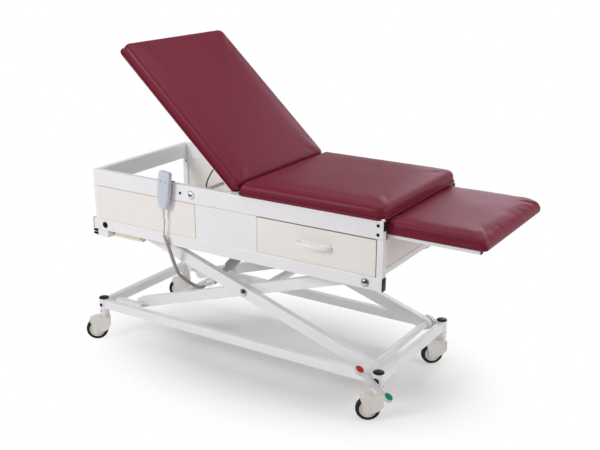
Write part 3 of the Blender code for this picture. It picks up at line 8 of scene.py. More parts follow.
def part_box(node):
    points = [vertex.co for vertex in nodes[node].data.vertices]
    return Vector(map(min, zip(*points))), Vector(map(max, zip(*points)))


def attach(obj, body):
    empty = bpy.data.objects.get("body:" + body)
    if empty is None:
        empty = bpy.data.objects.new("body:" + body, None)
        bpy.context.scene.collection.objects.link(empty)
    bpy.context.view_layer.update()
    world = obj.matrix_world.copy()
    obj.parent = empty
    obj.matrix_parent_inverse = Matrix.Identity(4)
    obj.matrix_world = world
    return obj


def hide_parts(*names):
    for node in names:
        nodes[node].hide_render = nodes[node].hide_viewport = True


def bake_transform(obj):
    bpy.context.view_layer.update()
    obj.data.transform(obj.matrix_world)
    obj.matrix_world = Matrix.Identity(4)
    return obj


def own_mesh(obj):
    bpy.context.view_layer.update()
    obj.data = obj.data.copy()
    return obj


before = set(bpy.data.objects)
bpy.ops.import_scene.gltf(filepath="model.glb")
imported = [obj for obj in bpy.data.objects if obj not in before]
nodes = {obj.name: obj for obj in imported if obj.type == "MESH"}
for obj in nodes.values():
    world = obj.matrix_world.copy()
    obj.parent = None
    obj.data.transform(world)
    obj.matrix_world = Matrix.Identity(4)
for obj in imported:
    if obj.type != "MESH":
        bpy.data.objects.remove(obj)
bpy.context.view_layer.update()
scene = bpy.context.scene
scene.view_settings.view_transform = "Standard"

# places are taken from the middle of the base, X to the foot end, Y to the far side
nearRail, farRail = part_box("base_rail_near"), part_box("base_rail_far")
baseCentre = Vector(((nearRail[0][0] + nearRail[1][0]) / 2, (nearRail[0][1] + farRail[1][1]) / 2, 0))
halfFrame = 0.325                   # from the middle to the frame's sides
tubeX, tubeY = 0.711, 0.299         # axes of the base's corner tubes
boreLevel = 0.172                   # bores through the corner tubes
corners = {"near_head": (-1, -1), "far_head": (-1, 1), "near_foot": (1, -1), "far_foot": (1, 1)}
sides = ((-1, Vector((0, -1, 0))), (1, Vector((0, 1, 0))))


def spot(x, y, z):
    return baseCentre + Vector((x, y, z))


def tilted(point, angle):
    return Matrix.Translation(spot(*point)) @ Matrix.Rotation(radians(angle), 4, "Y")


def show(piece):
    scene.collection.objects.link(piece)
    return piece


def setInputs(node, values):
    for name, value in values.items():
        node.inputs[name].default_value = value


def addNode(tree, kind, values=None, **settings):
    node = tree.nodes.new(kind)
    for name, value in settings.items():
        setattr(node, name, value)
    setInputs(node, values or {})
    return node


def wire(tree, *links):
    for source, output, target, entry in links:
        tree.links.new(source.outputs[output], target.inputs[entry])


def stepNode(tree, values, kind="SMOOTHSTEP"):
    # values are the range taken in and the range given out
    ranges = dict(zip(("From Min", "From Max", "To Min", "To Max"), values))
    return addNode(tree, "ShaderNodeMapRange", ranges, interpolation_type=kind)


def newMaterial(name):
    look = bpy.data.materials.new(name)
    look.use_nodes = True
    return look, look.node_tree, look.node_tree.nodes["Principled BSDF"]


# camera, floor and light
photoCamera = {"fromBase": (2.18127, -3.24112, 1.8506), "yaw": 31.878, "pitch": -17.8205, "roll": 0.2156,
               "lens": 56.446, "sensor": 36}


def makeCamera():
    data = bpy.data.cameras.new("photoCamera")
    data.sensor_width = photoCamera["sensor"]
    data.lens = photoCamera["lens"]
    data.clip_end = 60
    camera = show(bpy.data.objects.new("photoCamera", data))
    aim = Matrix.Rotation(radians(photoCamera["yaw"]), 4, "Z")
    aim = aim @ Matrix.Rotation(radians(90 + photoCamera["pitch"]), 4, "X")
    aim = aim @ Matrix.Rotation(radians(photoCamera["roll"]), 4, "Z")
    camera.matrix_world = Matrix.Translation(spot(*photoCamera["fromBase"])) @ aim
    scene.camera = camera


# a fade is a soft step: the range it takes in, then the strengths it gives out
studio = {
    "ambient": 0.35, "front": (0.45, -0.86, -0.05), "frontFade": (-0.35, 0.45, 1.0, 0.05),
    "highFade": (0.2, 0.6, 1.0, 0.24), "floorFade": (-0.6, -0.2, 0.85, 0.0), "aim": (0, 0, 0.65),
    "lamps": {
        "leftBox": {"place": (-1.7, -3.5, 2.35), "size": 1.2, "power": 71, "colour": (1, 1, 1)},
        "topBox": {"place": (0.2, 0.2, 3.9), "size": 3.2, "power": 50, "colour": (1, 1, 1)},
        "rightBox": {"place": (3.4, 0.6, 2.0), "size": 2.0, "power": 40, "colour": (1, 1, 1)},
        "backBox": {"place": (0.0, 3.4, 1.7), "size": 1.6, "power": 18, "colour": (0.88, 0.90, 1.0)},
    },
}


def makeWorld():
    world = bpy.data.worlds.new("paleStudio")
    scene.world = world
    world.use_nodes = True
    tree = world.node_tree
    tree.nodes.clear()
    white = (1, 1, 1, 1)
    out = addNode(tree, "ShaderNodeOutputWorld")
    path = addNode(tree, "ShaderNodeLightPath")
    ambient = addNode(tree, "ShaderNodeBackground", {"Color": white, "Strength": studio["ambient"]})
    seen = addNode(tree, "ShaderNodeBackground", {"Color": white, "Strength": 1.0})
    room = addNode(tree, "ShaderNodeBackground")
    # polished metal sees a darker studio in front of the table and above it, and the pale floor below
    coords = addNode(tree, "ShaderNodeTexCoord")
    facing = addNode(tree, "ShaderNodeVectorMath", {1: Vector(studio["front"]).normalized()},
                     operation="DOT_PRODUCT")
    split = addNode(tree, "ShaderNodeSeparateXYZ")
    front = stepNode(tree, studio["frontFade"])
    high = stepNode(tree, studio["highFade"])
    low = stepNode(tree, studio["floorFade"])
    both = addNode(tree, "ShaderNodeMath", operation="MULTIPLY")
    brighter = addNode(tree, "ShaderNodeMath", operation="MAXIMUM")
    glossy = addNode(tree, "ShaderNodeMixShader")
    final = addNode(tree, "ShaderNodeMixShader")
    wire(tree, (coords, "Generated", facing, 0), (facing, "Value", front, "Value"),
         (coords, "Generated", split, 0), (split, "Z", high, "Value"), (split, "Z", low, "Value"),
         (front, "Result", both, 0), (high, "Result", both, 1), (both, 0, brighter, 0),
         (low, "Result", brighter, 1), (brighter, 0, room, "Strength"),
         (path, "Is Glossy Ray", glossy, "Fac"), (ambient, 0, glossy, 1), (room, 0, glossy, 2),
         (path, "Is Camera Ray", final, "Fac"), (glossy, 0, final, 1), (seen, 0, final, 2),
         (final, 0, out, "Surface"))


def makeLamps():
    for name, values in studio["lamps"].items():
        light = bpy.data.lights.new(name, "AREA")
        light.shape = "SQUARE"
        light.size = values["size"]
        light.energy = values["power"]
        light.color = values["colour"]
        lamp = show(bpy.data.objects.new(name, light))
        lamp.location = values["place"]
        lamp.rotation_euler = (Vector(studio["aim"]) - lamp.location).to_track_quat("-Z", "Y").to_euler()


# the paper runs out into plain white away from the table
studioFloor = {"radius": 9.0, "colour": (0.90, 0.885, 0.875), "rough": 0.85, "specular": 0.1,
               "shift": (0.06, 0.0, 0), "stretch": (1.05, 1.58, 1), "fade": (0.45, 1.15, 0.0, 1.0)}


def makeFloor():
    values = studioFloor
    bm = bmesh.new()
    bmesh.ops.create_circle(bm, cap_ends=True, segments=96, radius=values["radius"])
    mesh = bpy.data.meshes.new("studioFloor")
    bm.to_mesh(mesh)
    bm.free()
    floor = show(bpy.data.objects.new("studioFloor", mesh))
    look, tree, shader = newMaterial("paleFloor")
    setInputs(shader, {"Base Color": (*values["colour"], 1), "Roughness": values["rough"],
                       "Specular IOR Level": values["specular"]})
    coords = addNode(tree, "ShaderNodeTexCoord")
    stretch = addNode(tree, "ShaderNodeMapping", {"Location": values["shift"], "Scale": values["stretch"]})
    reach = addNode(tree, "ShaderNodeVectorMath", operation="LENGTH")
    edge = stepNode(tree, values["fade"])
    white = addNode(tree, "ShaderNodeEmission", {"Color": (1, 1, 1, 1)})
    path = addNode(tree, "ShaderNodeLightPath")
    seenByEye = addNode(tree, "ShaderNodeMath", operation="MULTIPLY")
    fadeOut = addNode(tree, "ShaderNodeMixShader")
    wire(tree, (coords, "Object", stretch, "Vector"), (stretch, "Vector", reach, 0),
         (reach, "Value", edge, "Value"), (edge, "Result", seenByEye, 0),
         (path, "Is Camera Ray", seenByEye, 1), (seenByEye, 0, fadeOut, "Fac"), (shader, 0, fadeOut, 1),
         (white, 0, fadeOut, 2), (fadeOut, 0, tree.nodes["Material Output"], "Surface"))
    mesh.materials.append(look)
    floor.visible_glossy = False


makeCamera()
makeWorld()
makeLamps()
makeFloor()
print("camera and studio ready")


# finishes
def newGroup(name, inputs, outputs):
    group = bpy.data.node_groups.new(name, "ShaderNodeTree")
    for way, titles in (("INPUT", inputs), ("OUTPUT", outputs)):
        for title in titles:
            group.interface.new_socket(name=title, in_out=way, socket_type="NodeSocketFloat")
    return group, addNode(group, "NodeGroupInput"), addNode(group, "NodeGroupOutput")


def makeGrainGroup():
    group, enter, leave = newGroup("finishGrain", ("Grain Scale", "Mark Scale"), ("Grain", "Marks"))
    coords = addNode(group, "ShaderNodeTexCoord")
    grain = addNode(group, "ShaderNodeTexNoise", {"Detail": 2.0})
    marks = addNode(group, "ShaderNodeTexNoise", {"Detail": 5.0, "Roughness": 0.6})
    spread = addNode(group, "ShaderNodeMapRange", {"From Min": 0.35, "From Max": 0.75})
    wire(group, (coords, "Object", grain, "Vector"), (coords, "Object", marks, "Vector"),
         (enter, "Grain Scale", grain, "Scale"), (enter, "Mark Scale", marks, "Scale"),
         (marks, "Fac", spread, "Value"), (grain, "Fac", leave, "Grain"), (spread, "Result", leave, "Marks"))
    return group


def makeVinylGroup():
    group, enter, leave = newGroup("vinylSkin", ("Pebble Scale", "Cloud Scale"), ("Pebbles", "Clouds"))
    coords = addNode(group, "ShaderNodeTexCoord")
    bend = addNode(group, "ShaderNodeTexNoise", {"Scale": 220.0, "Detail": 1.0})
    push = addNode(group, "ShaderNodeVectorMath", {1: (0.0009, 0.0009, 0.0009)}, operation="MULTIPLY_ADD")
    cells = addNode(group, "ShaderNodeTexVoronoi", {"Smoothness": 0.6}, feature="SMOOTH_F1")
    clouds = addNode(group, "ShaderNodeTexNoise", {"Detail": 4.0, "Roughness": 0.55})
    wire(group, (coords, "Object", bend, "Vector"), (bend, "Color", push, 0), (coords, "Object", push, 2),
         (push, "Vector", cells, "Vector"), (enter, "Pebble Scale", cells, "Scale"),
         (coords, "Object", clouds, "Vector"), (enter, "Cloud Scale", clouds, "Scale"),
         (cells, "Distance", leave, "Pebbles"), (clouds, "Fac", leave, "Clouds"))
    return group


grainGroup = makeGrainGroup()
vinylGroup = makeVinylGroup()


def newSkin(name, group, scales, pattern, colours, gloss, relief, shine):
    # pattern names the group's outputs for colour and relief; gloss maps the first one onto roughness
    look, tree, shader = newMaterial(name)
    setInputs(shader, shine)
    skin = addNode(tree, "ShaderNodeGroup", scales, node_tree=group)
    tint = addNode(tree, "ShaderNodeMix", {"A": (*colours[0], 1), "B": (*colours[1], 1)}, data_type="RGBA")
    shades = stepNode(tree, gloss, "LINEAR")
    lumps = addNode(tree, "ShaderNodeBump", {"Strength": relief[0], "Distance": relief[1]})
    wire(tree, (skin, pattern[0], tint, "Factor"), (skin, pattern[0], shades, "Value"),
         (skin, pattern[1], lumps, "Height"), (tint, "Result", shader, "Base Color"),
         (shades, "Result", shader, "Roughness"), (lumps, "Normal", shader, "Normal"))
    return look


def newLook(name, colour, markColour, rough, metallic=0.0, grain=500.0, marks=7.0, bump=0.1, coat=0.0,
            specular=0.5):
    # rough is a pair: roughness of the plain and of the marked places
    shine = {"Metallic": metallic, "Specular IOR Level": specular, "Coat Weight": coat,
             "Coat Roughness": 0.12}
    return newSkin(name, grainGroup, {"Grain Scale": grain, "Mark Scale": marks}, ("Marks", "Grain"),
                   (colour, markColour), (0.0, 1.0, *rough), (bump, 0.0002), shine)


whitePaint = newLook("whitePaint", (0.87, 0.862, 0.88), (0.83, 0.822, 0.838), (0.30, 0.42), grain=900,
                     bump=0.12, coat=0.15)
creamLaminate = newLook("creamLaminate", (0.87, 0.828, 0.80), (0.84, 0.795, 0.765), (0.42, 0.52), grain=1400,
                        bump=0.08)
creamPlastic = newLook("creamPlastic", (0.79, 0.755, 0.71), (0.74, 0.705, 0.66), (0.36, 0.48), grain=700,
                       bump=0.12)
ivoryNylon = newLook("ivoryNylon", (0.76, 0.715, 0.60), (0.70, 0.65, 0.53), (0.42, 0.55), grain=600,
                     bump=0.15)
blackPlastic = newLook("blackPlastic", (0.007, 0.007, 0.010), (0.014, 0.014, 0.017), (0.30, 0.42), grain=800,
                       bump=0.2, specular=0.16)
polishedChrome = newLook("polishedChrome", (0.80, 0.80, 0.82), (0.72, 0.72, 0.74), (0.05, 0.14), 1.0,
                         grain=300, marks=40, bump=0.02)
platedSteel = newLook("platedSteel", (0.60, 0.62, 0.65), (0.48, 0.50, 0.54), (0.26, 0.42), 1.0, grain=900,
                      marks=25)
blueZinc = newLook("blueZinc", (0.50, 0.60, 0.70), (0.38, 0.44, 0.52), (0.22, 0.36), 1.0, grain=900, marks=60)
greyPaint = newLook("greyPaint", (0.40, 0.40, 0.39), (0.34, 0.34, 0.33), (0.38, 0.5), grain=700, bump=0.15)
pedalGrey = newLook("pedalGrey", (0.66, 0.66, 0.65), (0.58, 0.58, 0.57), (0.34, 0.46), grain=600, bump=0.12)
redPlastic = newLook("redPlastic", (0.60, 0.010, 0.016), (0.52, 0.008, 0.013), (0.34, 0.46), marks=30,
                     specular=0.18)
greenPlastic = newLook("greenPlastic", (0.0, 0.250, 0.190), (0.0, 0.21, 0.16), (0.34, 0.46), marks=30,
                       specular=0.18)
darkTyre = newLook("darkTyre", (0.014, 0.015, 0.020), (0.028, 0.028, 0.031), (0.50, 0.68), marks=22,
                   bump=0.25, specular=0.22)
blueGreyPlastic = newLook("blueGreyPlastic", (0.60, 0.635, 0.72), (0.56, 0.59, 0.67), (0.38, 0.48),
                          grain=1100, bump=0.16)
beigeCord = newLook("beigeCord", (0.47, 0.43, 0.375), (0.41, 0.37, 0.32), (0.40, 0.52), grain=900, marks=18)
# brown for the strips round the panels and drawer fronts: edge banding, and painted shade of the gaps beside
# them
edgingAndGapShadeBrown = newLook("edgingAndGapShadeBrown", (0.40, 0.32, 0.27), (0.33, 0.25, 0.21), (0.5, 0.65), grain=600)
burgundyVinyl = newSkin("burgundyVinyl", vinylGroup, {"Pebble Scale": 620.0, "Cloud Scale": 3.4},
                        ("Clouds", "Pebbles"), ((0.162, 0.0068, 0.0195), (0.178, 0.0090, 0.0238)),
                        (0.3, 0.7, 0.42, 0.50), (0.16, 0.0003),
                        {"Specular IOR Level": 0.33, "Specular Tint": (0.88, 0.76, 1.0, 1),
                         "Sheen Weight": 0.02, "Sheen Tint": (0.75, 0.58, 0.90, 1), "Sheen Roughness": 0.4})

nodeLooks = (
    (whitePaint, "base_rail_near base_rail_far base_beam_head base_beam_foot outer_arms inner_arms "
                 "upper_rail side_frame_near side_frame_far head_cross_tube middle_beam foot_cross_rail "
                 "middle_box rest_bar seat_board backrest_board leg_rest_frame drawer_tray_near "
                 "drawer_tray_far"),
    (creamLaminate, "panel_near panel_far foot_panel drawer_front_near drawer_front_far"),
    (creamPlastic, " ".join("caster_housing_" + corner for corner in corners)),
    (ivoryNylon, "slide_guide_near slide_guide_far"),
    (blackPlastic, "gas_cylinder leg_cap_near leg_cap_far handset_hook"),
    (polishedChrome, "centre_pin_near centre_pin_far gas_rod"),
    (platedSteel, "brake_bar upper_pivot_shaft backrest_frame"),
    (greyPaint, "actuator_body actuator_rod"),
)
for look, nodeNames in nodeLooks:
    for nodeName in nodeNames.split():
        for place in nodes[nodeName].material_slots:
            place.material = look
print("finishes ready")


# shapes shared by several pieces
def finishPiece(name, bm, look, body, sharp=40, weld=True):
    # a piece that bends between two bodies has no body here
    if weld:
        bmesh.ops.remove_doubles(bm, verts=bm.verts, dist=1e-6)
    bmesh.ops.recalc_face_normals(bm, faces=bm.faces)
    mesh = bpy.data.meshes.new(name)
    bm.to_mesh(mesh)
    bm.free()
    mesh.materials.append(look)
    mesh.shade_smooth()
    mesh.set_sharp_from_angle(angle=radians(sharp))
    piece = show(bpy.data.objects.new(name, mesh))
    if body:
        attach(piece, body)
    return piece


def addRings(bm, rings, capped=False):
    # rings of equal length are joined by faces; a ring of one point closes the end
    made = [[bm.verts.new(point) for point in ring] for ring in rings]
    for low, high in zip(made, made[1:]):
        count = max(len(low), len(high))
        for i in range(count):
            j = (i + 1) % count
            if len(low) == 1:
                bm.faces.new((low[0], high[j], high[i]))
            elif len(high) == 1:
                bm.faces.new((low[i], low[j], high[0]))
            else:
                bm.faces.new((low[i], low[j], high[j], high[i]))
    if capped:
        for ring in (made[0], made[-1]):
            if len(ring) > 2:
                bm.faces.new(ring)


def addTurned(bm, profile, origin, direction, steps):
    # profile is pairs of radius and height; one that ends where it starts is a closed ring
    place = Matrix.Translation(origin) @ Vector(direction).to_track_quat("Z", "Y").to_matrix().to_4x4()
    turns = [2 * pi * i / steps for i in range(steps)]
    rings = []
    for radius, height in profile:
        if radius < 1e-9:
            rings.append([place @ Vector((0, 0, height))])
        else:
            rings.append([place @ Vector((radius * cos(t), radius * sin(t), height)) for t in turns])
    addRings(bm, rings, capped=profile[-1] != profile[0])


def addBlock(bm, low, high, edge, segments=2):
    low, high = Vector(low), Vector(high)
    made = bmesh.ops.create_cube(bm, size=1.0, matrix=Matrix.Translation((low + high) / 2)
                                 @ Matrix.Diagonal((*(high - low), 1)))
    edges = {e for v in made["verts"] for e in v.link_edges}
    bmesh.ops.bevel(bm, geom=list(edges), offset=edge, segments=segments, profile=0.5, affect="EDGES")


def smoothRoute(points, spacing):
    points = [Vector(point) for point in points]
    ends = [2 * points[0] - points[1]] + points + [2 * points[-1] - points[-2]]
    fine = []
    for a, b, c, d in zip(ends, ends[1:], ends[2:], ends[3:]):
        for i in range(24):
            t = i / 24
            fine.append(0.5 * (2 * b + (c - a) * t + (2 * a - 5 * b + 4 * c - d) * t * t
                               + (3 * b - a - 3 * c + d) * t ** 3))
    fine.append(points[-1])
    lengths = [0.0]
    for a, b in zip(fine, fine[1:]):
        lengths.append(lengths[-1] + (b - a).length)
    count = max(2, ceil(lengths[-1] / spacing))
    route = []
    j = 0
    for i in range(count + 1):
        wanted = lengths[-1] * i / count
        while j < len(fine) - 2 and lengths[j + 1] < wanted:
            j += 1
        share = (wanted - lengths[j]) / max(1e-9, lengths[j + 1] - lengths[j])
        route.append(fine[j].lerp(fine[j + 1], share))
    return route


def cordTube(name, points, radius, look, around=10):
    rings = [[points[0]]]
    side = Vector((0.3, 1, 0.2))
    for i, place in enumerate(points):
        ahead = (points[min(i + 1, len(points) - 1)] - points[max(i - 1, 0)]).normalized()
        side = (side - ahead * side.dot(ahead)).normalized()
        over = ahead.cross(side)
        rings.append([place + radius * (cos(2 * pi * k / around) * side + sin(2 * pi * k / around) * over)
                      for k in range(around)])
    rings.append([points[-1]])
    bm = bmesh.new()
    addRings(bm, rings)
    return finishPiece(name, bm, look, None, 60, weld=False)


# handset cord: a straight lead, then curls down to the lift's socket
curlyCord = {
    "wire": 0.0024, "curl": 0.0056, "curls": 72, "perCurl": 14, "spacing": 0.006,
    "leadTop": (-0.28759, -0.3481, 0.66627), "leadDrop": (0, 0, -0.012),
    "bends": ((-0.298, -0.343, 0.597), (-0.290, -0.342, 0.570), (-0.284, -0.335, 0.545),
              (-0.287, -0.310, 0.486), (-0.300, -0.270, 0.420), (-0.312, -0.230, 0.371),
              (-0.306, -0.170, 0.317)),
    "entry": (0.002, -0.040, 0.003), "socket": (-0.31354, -0.0523, 0.26428),
}


def makeCurlyCord():
    values = curlyCord
    top = spot(*values["leadTop"])
    bends = [spot(*bend) for bend in values["bends"]]
    socket = spot(*values["socket"])
    lead = smoothRoute([top, top + Vector(values["leadDrop"]), bends[0]], values["spacing"])
    route = smoothRoute(bends + [socket + Vector(values["entry"]), socket], values["spacing"])
    per = values["perCurl"]
    total = values["curls"] * per
    coil = [route[0]]
    side = Vector((0, 1, 0))
    for i in range(total + 1):
        share = 1 + i / total * (len(route) - 3)
        j = min(int(share), len(route) - 3)
        place = route[j].lerp(route[j + 1], share - j)
        ahead = (route[j + 1] - route[j]).normalized()
        side = (side - ahead * side.dot(ahead)).normalized()
        turn = 2 * pi * i / per
        grow = min(1.0, 2 * i / per, 2 * (total - i) / per)
        coil.append(place + grow * values["curl"] * (cos(turn) * side + sin(turn) * ahead.cross(side)))
    points = lead[:-1] + coil + [route[-1]]
    cord = cordTube("handsetCord", points, values["wire"], beigeCord)
    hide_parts("handset_cord")
    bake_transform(cord)


releaseCable = {
    "radius": 0.0028, "side": -0.2589, "spacing": 0.006,
    "bends": ((-0.105, 0.768), (-0.128, 0.800), (-0.126, 0.830), (-0.104, 0.870), (-0.078, 0.905),
              (-0.0694, 0.917)),
}


def makeReleaseCable():
    values = releaseCable
    points = smoothRoute([spot(x, values["side"], z) for x, z in values["bends"]], values["spacing"])
    cable = cordTube("releaseCable", points, values["radius"], blackPlastic)
    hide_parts("release_cable")
    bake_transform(cable)


makeCurlyCord()
makeReleaseCable()
print("cords ready")


# cushions, made flat in their own frame and then laid on their boards
padSizes = {
    "backrestPad": {
        "node": "backrest_pad", "body": "backrest", "ends": (-0.769, 0.0165), "halfWidth": 0.335,
        "bottom": 0.0043, "thick": 0.060, "headEdge": (0.020, 0.020), "footEdge": (0.0, 0.010),
        "sideEdge": (0.018, 0.020), "corners": (0.030, 0.022),
        "nose": ((0.0, 0.012), (0.010, 0.0060), (0.020, 0.0012), (0.027, 0.0), (0.036, 0.0055),
                 (0.046, 0.0165), (0.060, 0.0300)),
        "hinge": (0.052, 0.0, 0.8275), "tilt": 42.5, "crown": 0.004, "voxel": 0.0075},
    "seatPad": {
        "node": "seat_pad", "body": "upper_frame", "ends": (0.084, 0.732), "halfWidth": 0.335,
        "bottom": 0.8286, "thick": 0.0550, "headEdge": (0.028, 0.028), "footEdge": (0.024, 0.024),
        "sideEdge": (0.028, 0.030), "corners": (0.010, 0.040), "nose": (),
        "hinge": (0.0, 0.0, 0.0), "tilt": 0.0, "crown": 0.004, "voxel": 0.0075},
    "legRestPad": {
        "node": "leg_rest_pad", "body": "leg_rest", "ends": (0.700, 1.117), "halfWidth": 0.297,
        "bottom": 0.7627, "thick": 0.0600, "headEdge": (0.020, 0.012), "footEdge": (0.0, 0.014),
        "sideEdge": (0.018, 0.018), "corners": (0.020, 0.020),
        "nose": ((0.0, 0.007), (0.006, 0.0025), (0.014, 0.0), (0.023, 0.0015), (0.032, 0.0065),
                 (0.040, 0.0145), (0.046, 0.025), (0.050, 0.037), (0.055, 0.058)),
        "hinge": (0.0, 0.0, 0.0), "tilt": 0.0, "crown": 0.0035, "voxel": 0.0065},
}
padFilling = {"start": 0.0015, "frames": 20, "cap": 0.004, "lowEdge": 0.005, "quickSwell": 0.002}
padCloth = {"quality": 4, "mass": 0.25, "tension_stiffness": 12, "compression_stiffness": 12,
            "shear_stiffness": 5, "bending_stiffness": 0.6, "use_pressure": True,
            "uniform_pressure_force": 4.0}
# gathers in the leg rest's cover: place across, distance from the end, half width, half length and depth
legGathers = ((-0.186, 0.052, 0.034, 0.030, 0.0019), (0.046, 0.054, 0.042, 0.028, 0.0018),
              (-0.250, 0.034, 0.020, 0.026, 0.0008), (-0.118, 0.028, 0.015, 0.026, 0.0011),
              (-0.020, 0.026, 0.012, 0.020, 0.0006), (0.112, 0.030, 0.017, 0.028, 0.0012),
              (0.182, 0.024, 0.012, 0.022, 0.0007), (0.242, 0.032, 0.019, 0.026, 0.0010))
gatherSpread = {"reach": 0.14, "from": 0.006, "over": 0.02, "slant": 0.12}


def edgeInset(z, thick, edge):
    # how far a rounded top edge stands back at a height
    across, down = edge
    over = z - (thick - down)
    if over <= 0:
        return 0.0
    return across * (1 - sqrt(max(0.0, 1 - (over / down) ** 2)))


def noseInset(z, nose):
    if not nose:
        return 0.0
    for (z0, x0), (z1, x1) in zip(nose, nose[1:]):
        if z <= z1:
            return x0 + (x1 - x0) * max(0.0, z - z0) / (z1 - z0)
    return nose[-1][1]


def roundedOutline(x0, x1, halfWidth, rounding, steps=8):
    head, foot = rounding
    points = []
    for cx, cy, corner, start in ((x1 - foot, halfWidth - foot, foot, 0),
                                  (x0 + head, halfWidth - head, head, 90),
                                  (x0 + head, -halfWidth + head, head, 180),
                                  (x1 - foot, -halfWidth + foot, foot, 270)):
        for i in range(steps + 1):
            t = radians(start + 90 * i / steps)
            points.append((cx + corner * cos(t), cy + corner * sin(t)))
    return points


def padShape(values):
    # rings of a rounded slab, slightly smaller than the finished pad
    shrink = padFilling["start"]
    x0, x1 = values["ends"][0] + shrink, values["ends"][1] - shrink
    halfWidth = values["halfWidth"] - shrink
    thick = values["thick"] - values["crown"] - shrink
    low = padFilling["lowEdge"]
    deep = max(values["headEdge"][1], values["footEdge"][1], values["sideEdge"][1])
    levels = [low * i / 4 for i in range(5)]
    levels += [low + (thick - deep - low) * i / 4 for i in range(1, 4)]
    levels += [thick - deep * (1 - sin(pi / 2 * i / 12)) for i in range(13)]
    rings = []
    for z in levels:
        under = low - sqrt(max(0.0, low ** 2 - (low - z) ** 2)) if z < low else 0.0
        head = edgeInset(z, thick, values["headEdge"]) + under
        foot = edgeInset(z, thick, values["footEdge"]) + under + noseInset(z, values["nose"])
        side = edgeInset(z, thick, values["sideEdge"]) + under
        rounding = [max(0.004, corner - 0.4 * side) for corner in values["corners"]]
        outline = roundedOutline(x0 + head, x1 - foot, halfWidth - side, rounding)
        rings.append([Vector((x, y, values["bottom"] + z)) for x, y in outline])
    rim = rings[-1]
    middle = (x0 + x1) / 2
    for share in (0.8, 0.6, 0.4, 0.2):
        lift = values["crown"] * (1 - share ** 2)
        rings.append([Vector((middle + (p.x - middle) * share, p.y * share, p.z + lift)) for p in rim])
    bm = bmesh.new()
    addRings(bm, rings, capped=True)
    bmesh.ops.recalc_face_normals(bm, faces=bm.faces)
    return bm


def evaluatedMesh(holder):
    graph = bpy.context.evaluated_depsgraph_get()
    return bpy.data.meshes.new_from_object(holder.evaluated_get(graph))


def gathers(point, values):
    # shallow gathers where the cover is pulled round the leg rest's end
    back = values["ends"][1] - point.x
    if values["node"] != "leg_rest_pad" or back > gatherSpread["reach"]:
        return 0.0
    high = min(1.0, max(0.0, (point.z - values["bottom"] - gatherSpread["from"]) / gatherSpread["over"]))
    total = 0.0
    for place, reach, wide, long, depth in legGathers:
        across = point.y + gatherSpread["slant"] * (back - reach) - place
        total += depth * exp(-((back - reach) / long) ** 2 - (across / wide) ** 2)
    return -high * total


def swellPad(holder, pinned):
    # the filling presses the cover outward while its lower face stays on the board
    holder.vertex_groups.new(name="board").add(pinned, 1.0, "REPLACE")
    cloth = holder.modifiers.new("filling", "CLOTH")
    for title, value in padCloth.items():
        setattr(cloth.settings, title, value)
    cloth.settings.vertex_group_mass = "board"
    cloth.settings.effector_weights.gravity = 0
    cloth.point_cache.frame_start = 1
    cloth.point_cache.frame_end = padFilling["frames"]
    for number in range(1, padFilling["frames"] + 1):
        scene.frame_set(number)
    swollen = evaluatedMesh(holder)
    holder.modifiers.clear()
    scene.frame_set(1)
    moved = [v.co.copy() for v in swollen.vertices]
    bpy.data.meshes.remove(swollen)
    return moved


def makePad(name):
    values = padSizes[name]
    mesh = bpy.data.meshes.new(name + "Start")
    bm = padShape(values)
    bm.to_mesh(mesh)
    bm.free()
    holder = show(bpy.data.objects.new(name + "Start", mesh))
    remesh = holder.modifiers.new("even", "REMESH")
    remesh.mode = "VOXEL"
    remesh.voxel_size = values["voxel"]
    even = evaluatedMesh(holder)
    holder.modifiers.clear()
    holder.data = even
    start = [v.co.copy() for v in even.vertices]
    floor = min(p.z for p in start)
    moved = swellPad(holder, [i for i, p in enumerate(start) if p.z < floor + 0.6 * values["voxel"]])
    for vert, old, new in zip(even.vertices, start, moved):
        step = new - old
        if step.length > padFilling["cap"]:
            step *= padFilling["cap"] / step.length
        point = old + step
        point.z = max(point.z, floor)
        vert.co = point
    soften = holder.modifiers.new("soften", "SMOOTH")
    soften.factor = 0.5
    soften.iterations = 3
    finer = holder.modifiers.new("finer", "SUBSURF")
    finer.levels = 1
    finer.render_levels = 1
    final = evaluatedMesh(holder)
    bpy.data.objects.remove(holder, do_unlink=True)
    lay = tilted(values["hinge"], values["tilt"])
    normals = [v.normal.copy() for v in final.vertices]
    for vert, normal in zip(final.vertices, normals):
        point = vert.co + normal * gathers(vert.co, values)
        point.z = max(point.z, values["bottom"])
        vert.co = lay @ point
    final.materials.clear()
    final.materials.append(burgundyVinyl)
    final.shade_smooth()
    pad = show(bpy.data.objects.new(name, final))
    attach(pad, values["body"])
    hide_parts(values["node"])
    print(name, len(final.polygons), "faces")
    return pad


cushions = {padName: makePad(padName) for padName in padSizes}
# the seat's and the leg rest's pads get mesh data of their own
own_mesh(cushions["seatPad"])
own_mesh(cushions["legRestPad"])


# hems where the covers go round the lower edges: distance inside the outline and height over the pad's bottom
hemShape = {
    "seatPad": ((0.0080, 0.0014), (0.0018, 0.0044), (0.0008, 0.0014), (0.0014, -0.0046), (0.0035, -0.0074),
                (0.0080, -0.0076)),
    "backrestPad": ((0.0090, 0.0060), (0.0014, 0.0090), (0.0005, 0.0055), (0.0010, 0.0018), (0.0030, 0.0002),
                    (0.0090, 0.0002)),
}


def makeHem(name, padName):
    values = padSizes[padName]
    x0, x1 = values["ends"]
    lay = tilted(values["hinge"], values["tilt"])
    rings = []
    for inset, z in hemShape[padName]:
        rounding = [corner - 0.4 * inset for corner in values["corners"]]
        foot = x1 - inset - noseInset(z, values["nose"])
        outline = roundedOutline(x0 + inset, foot, values["halfWidth"] - inset, rounding)
        rings.append([lay @ Vector((x, y, values["bottom"] + z)) for x, y in outline])
    rings.append(rings[0])
    bm = bmesh.new()
    addRings(bm, rings)
    return finishPiece(name, bm, burgundyVinyl, values["body"], 60)


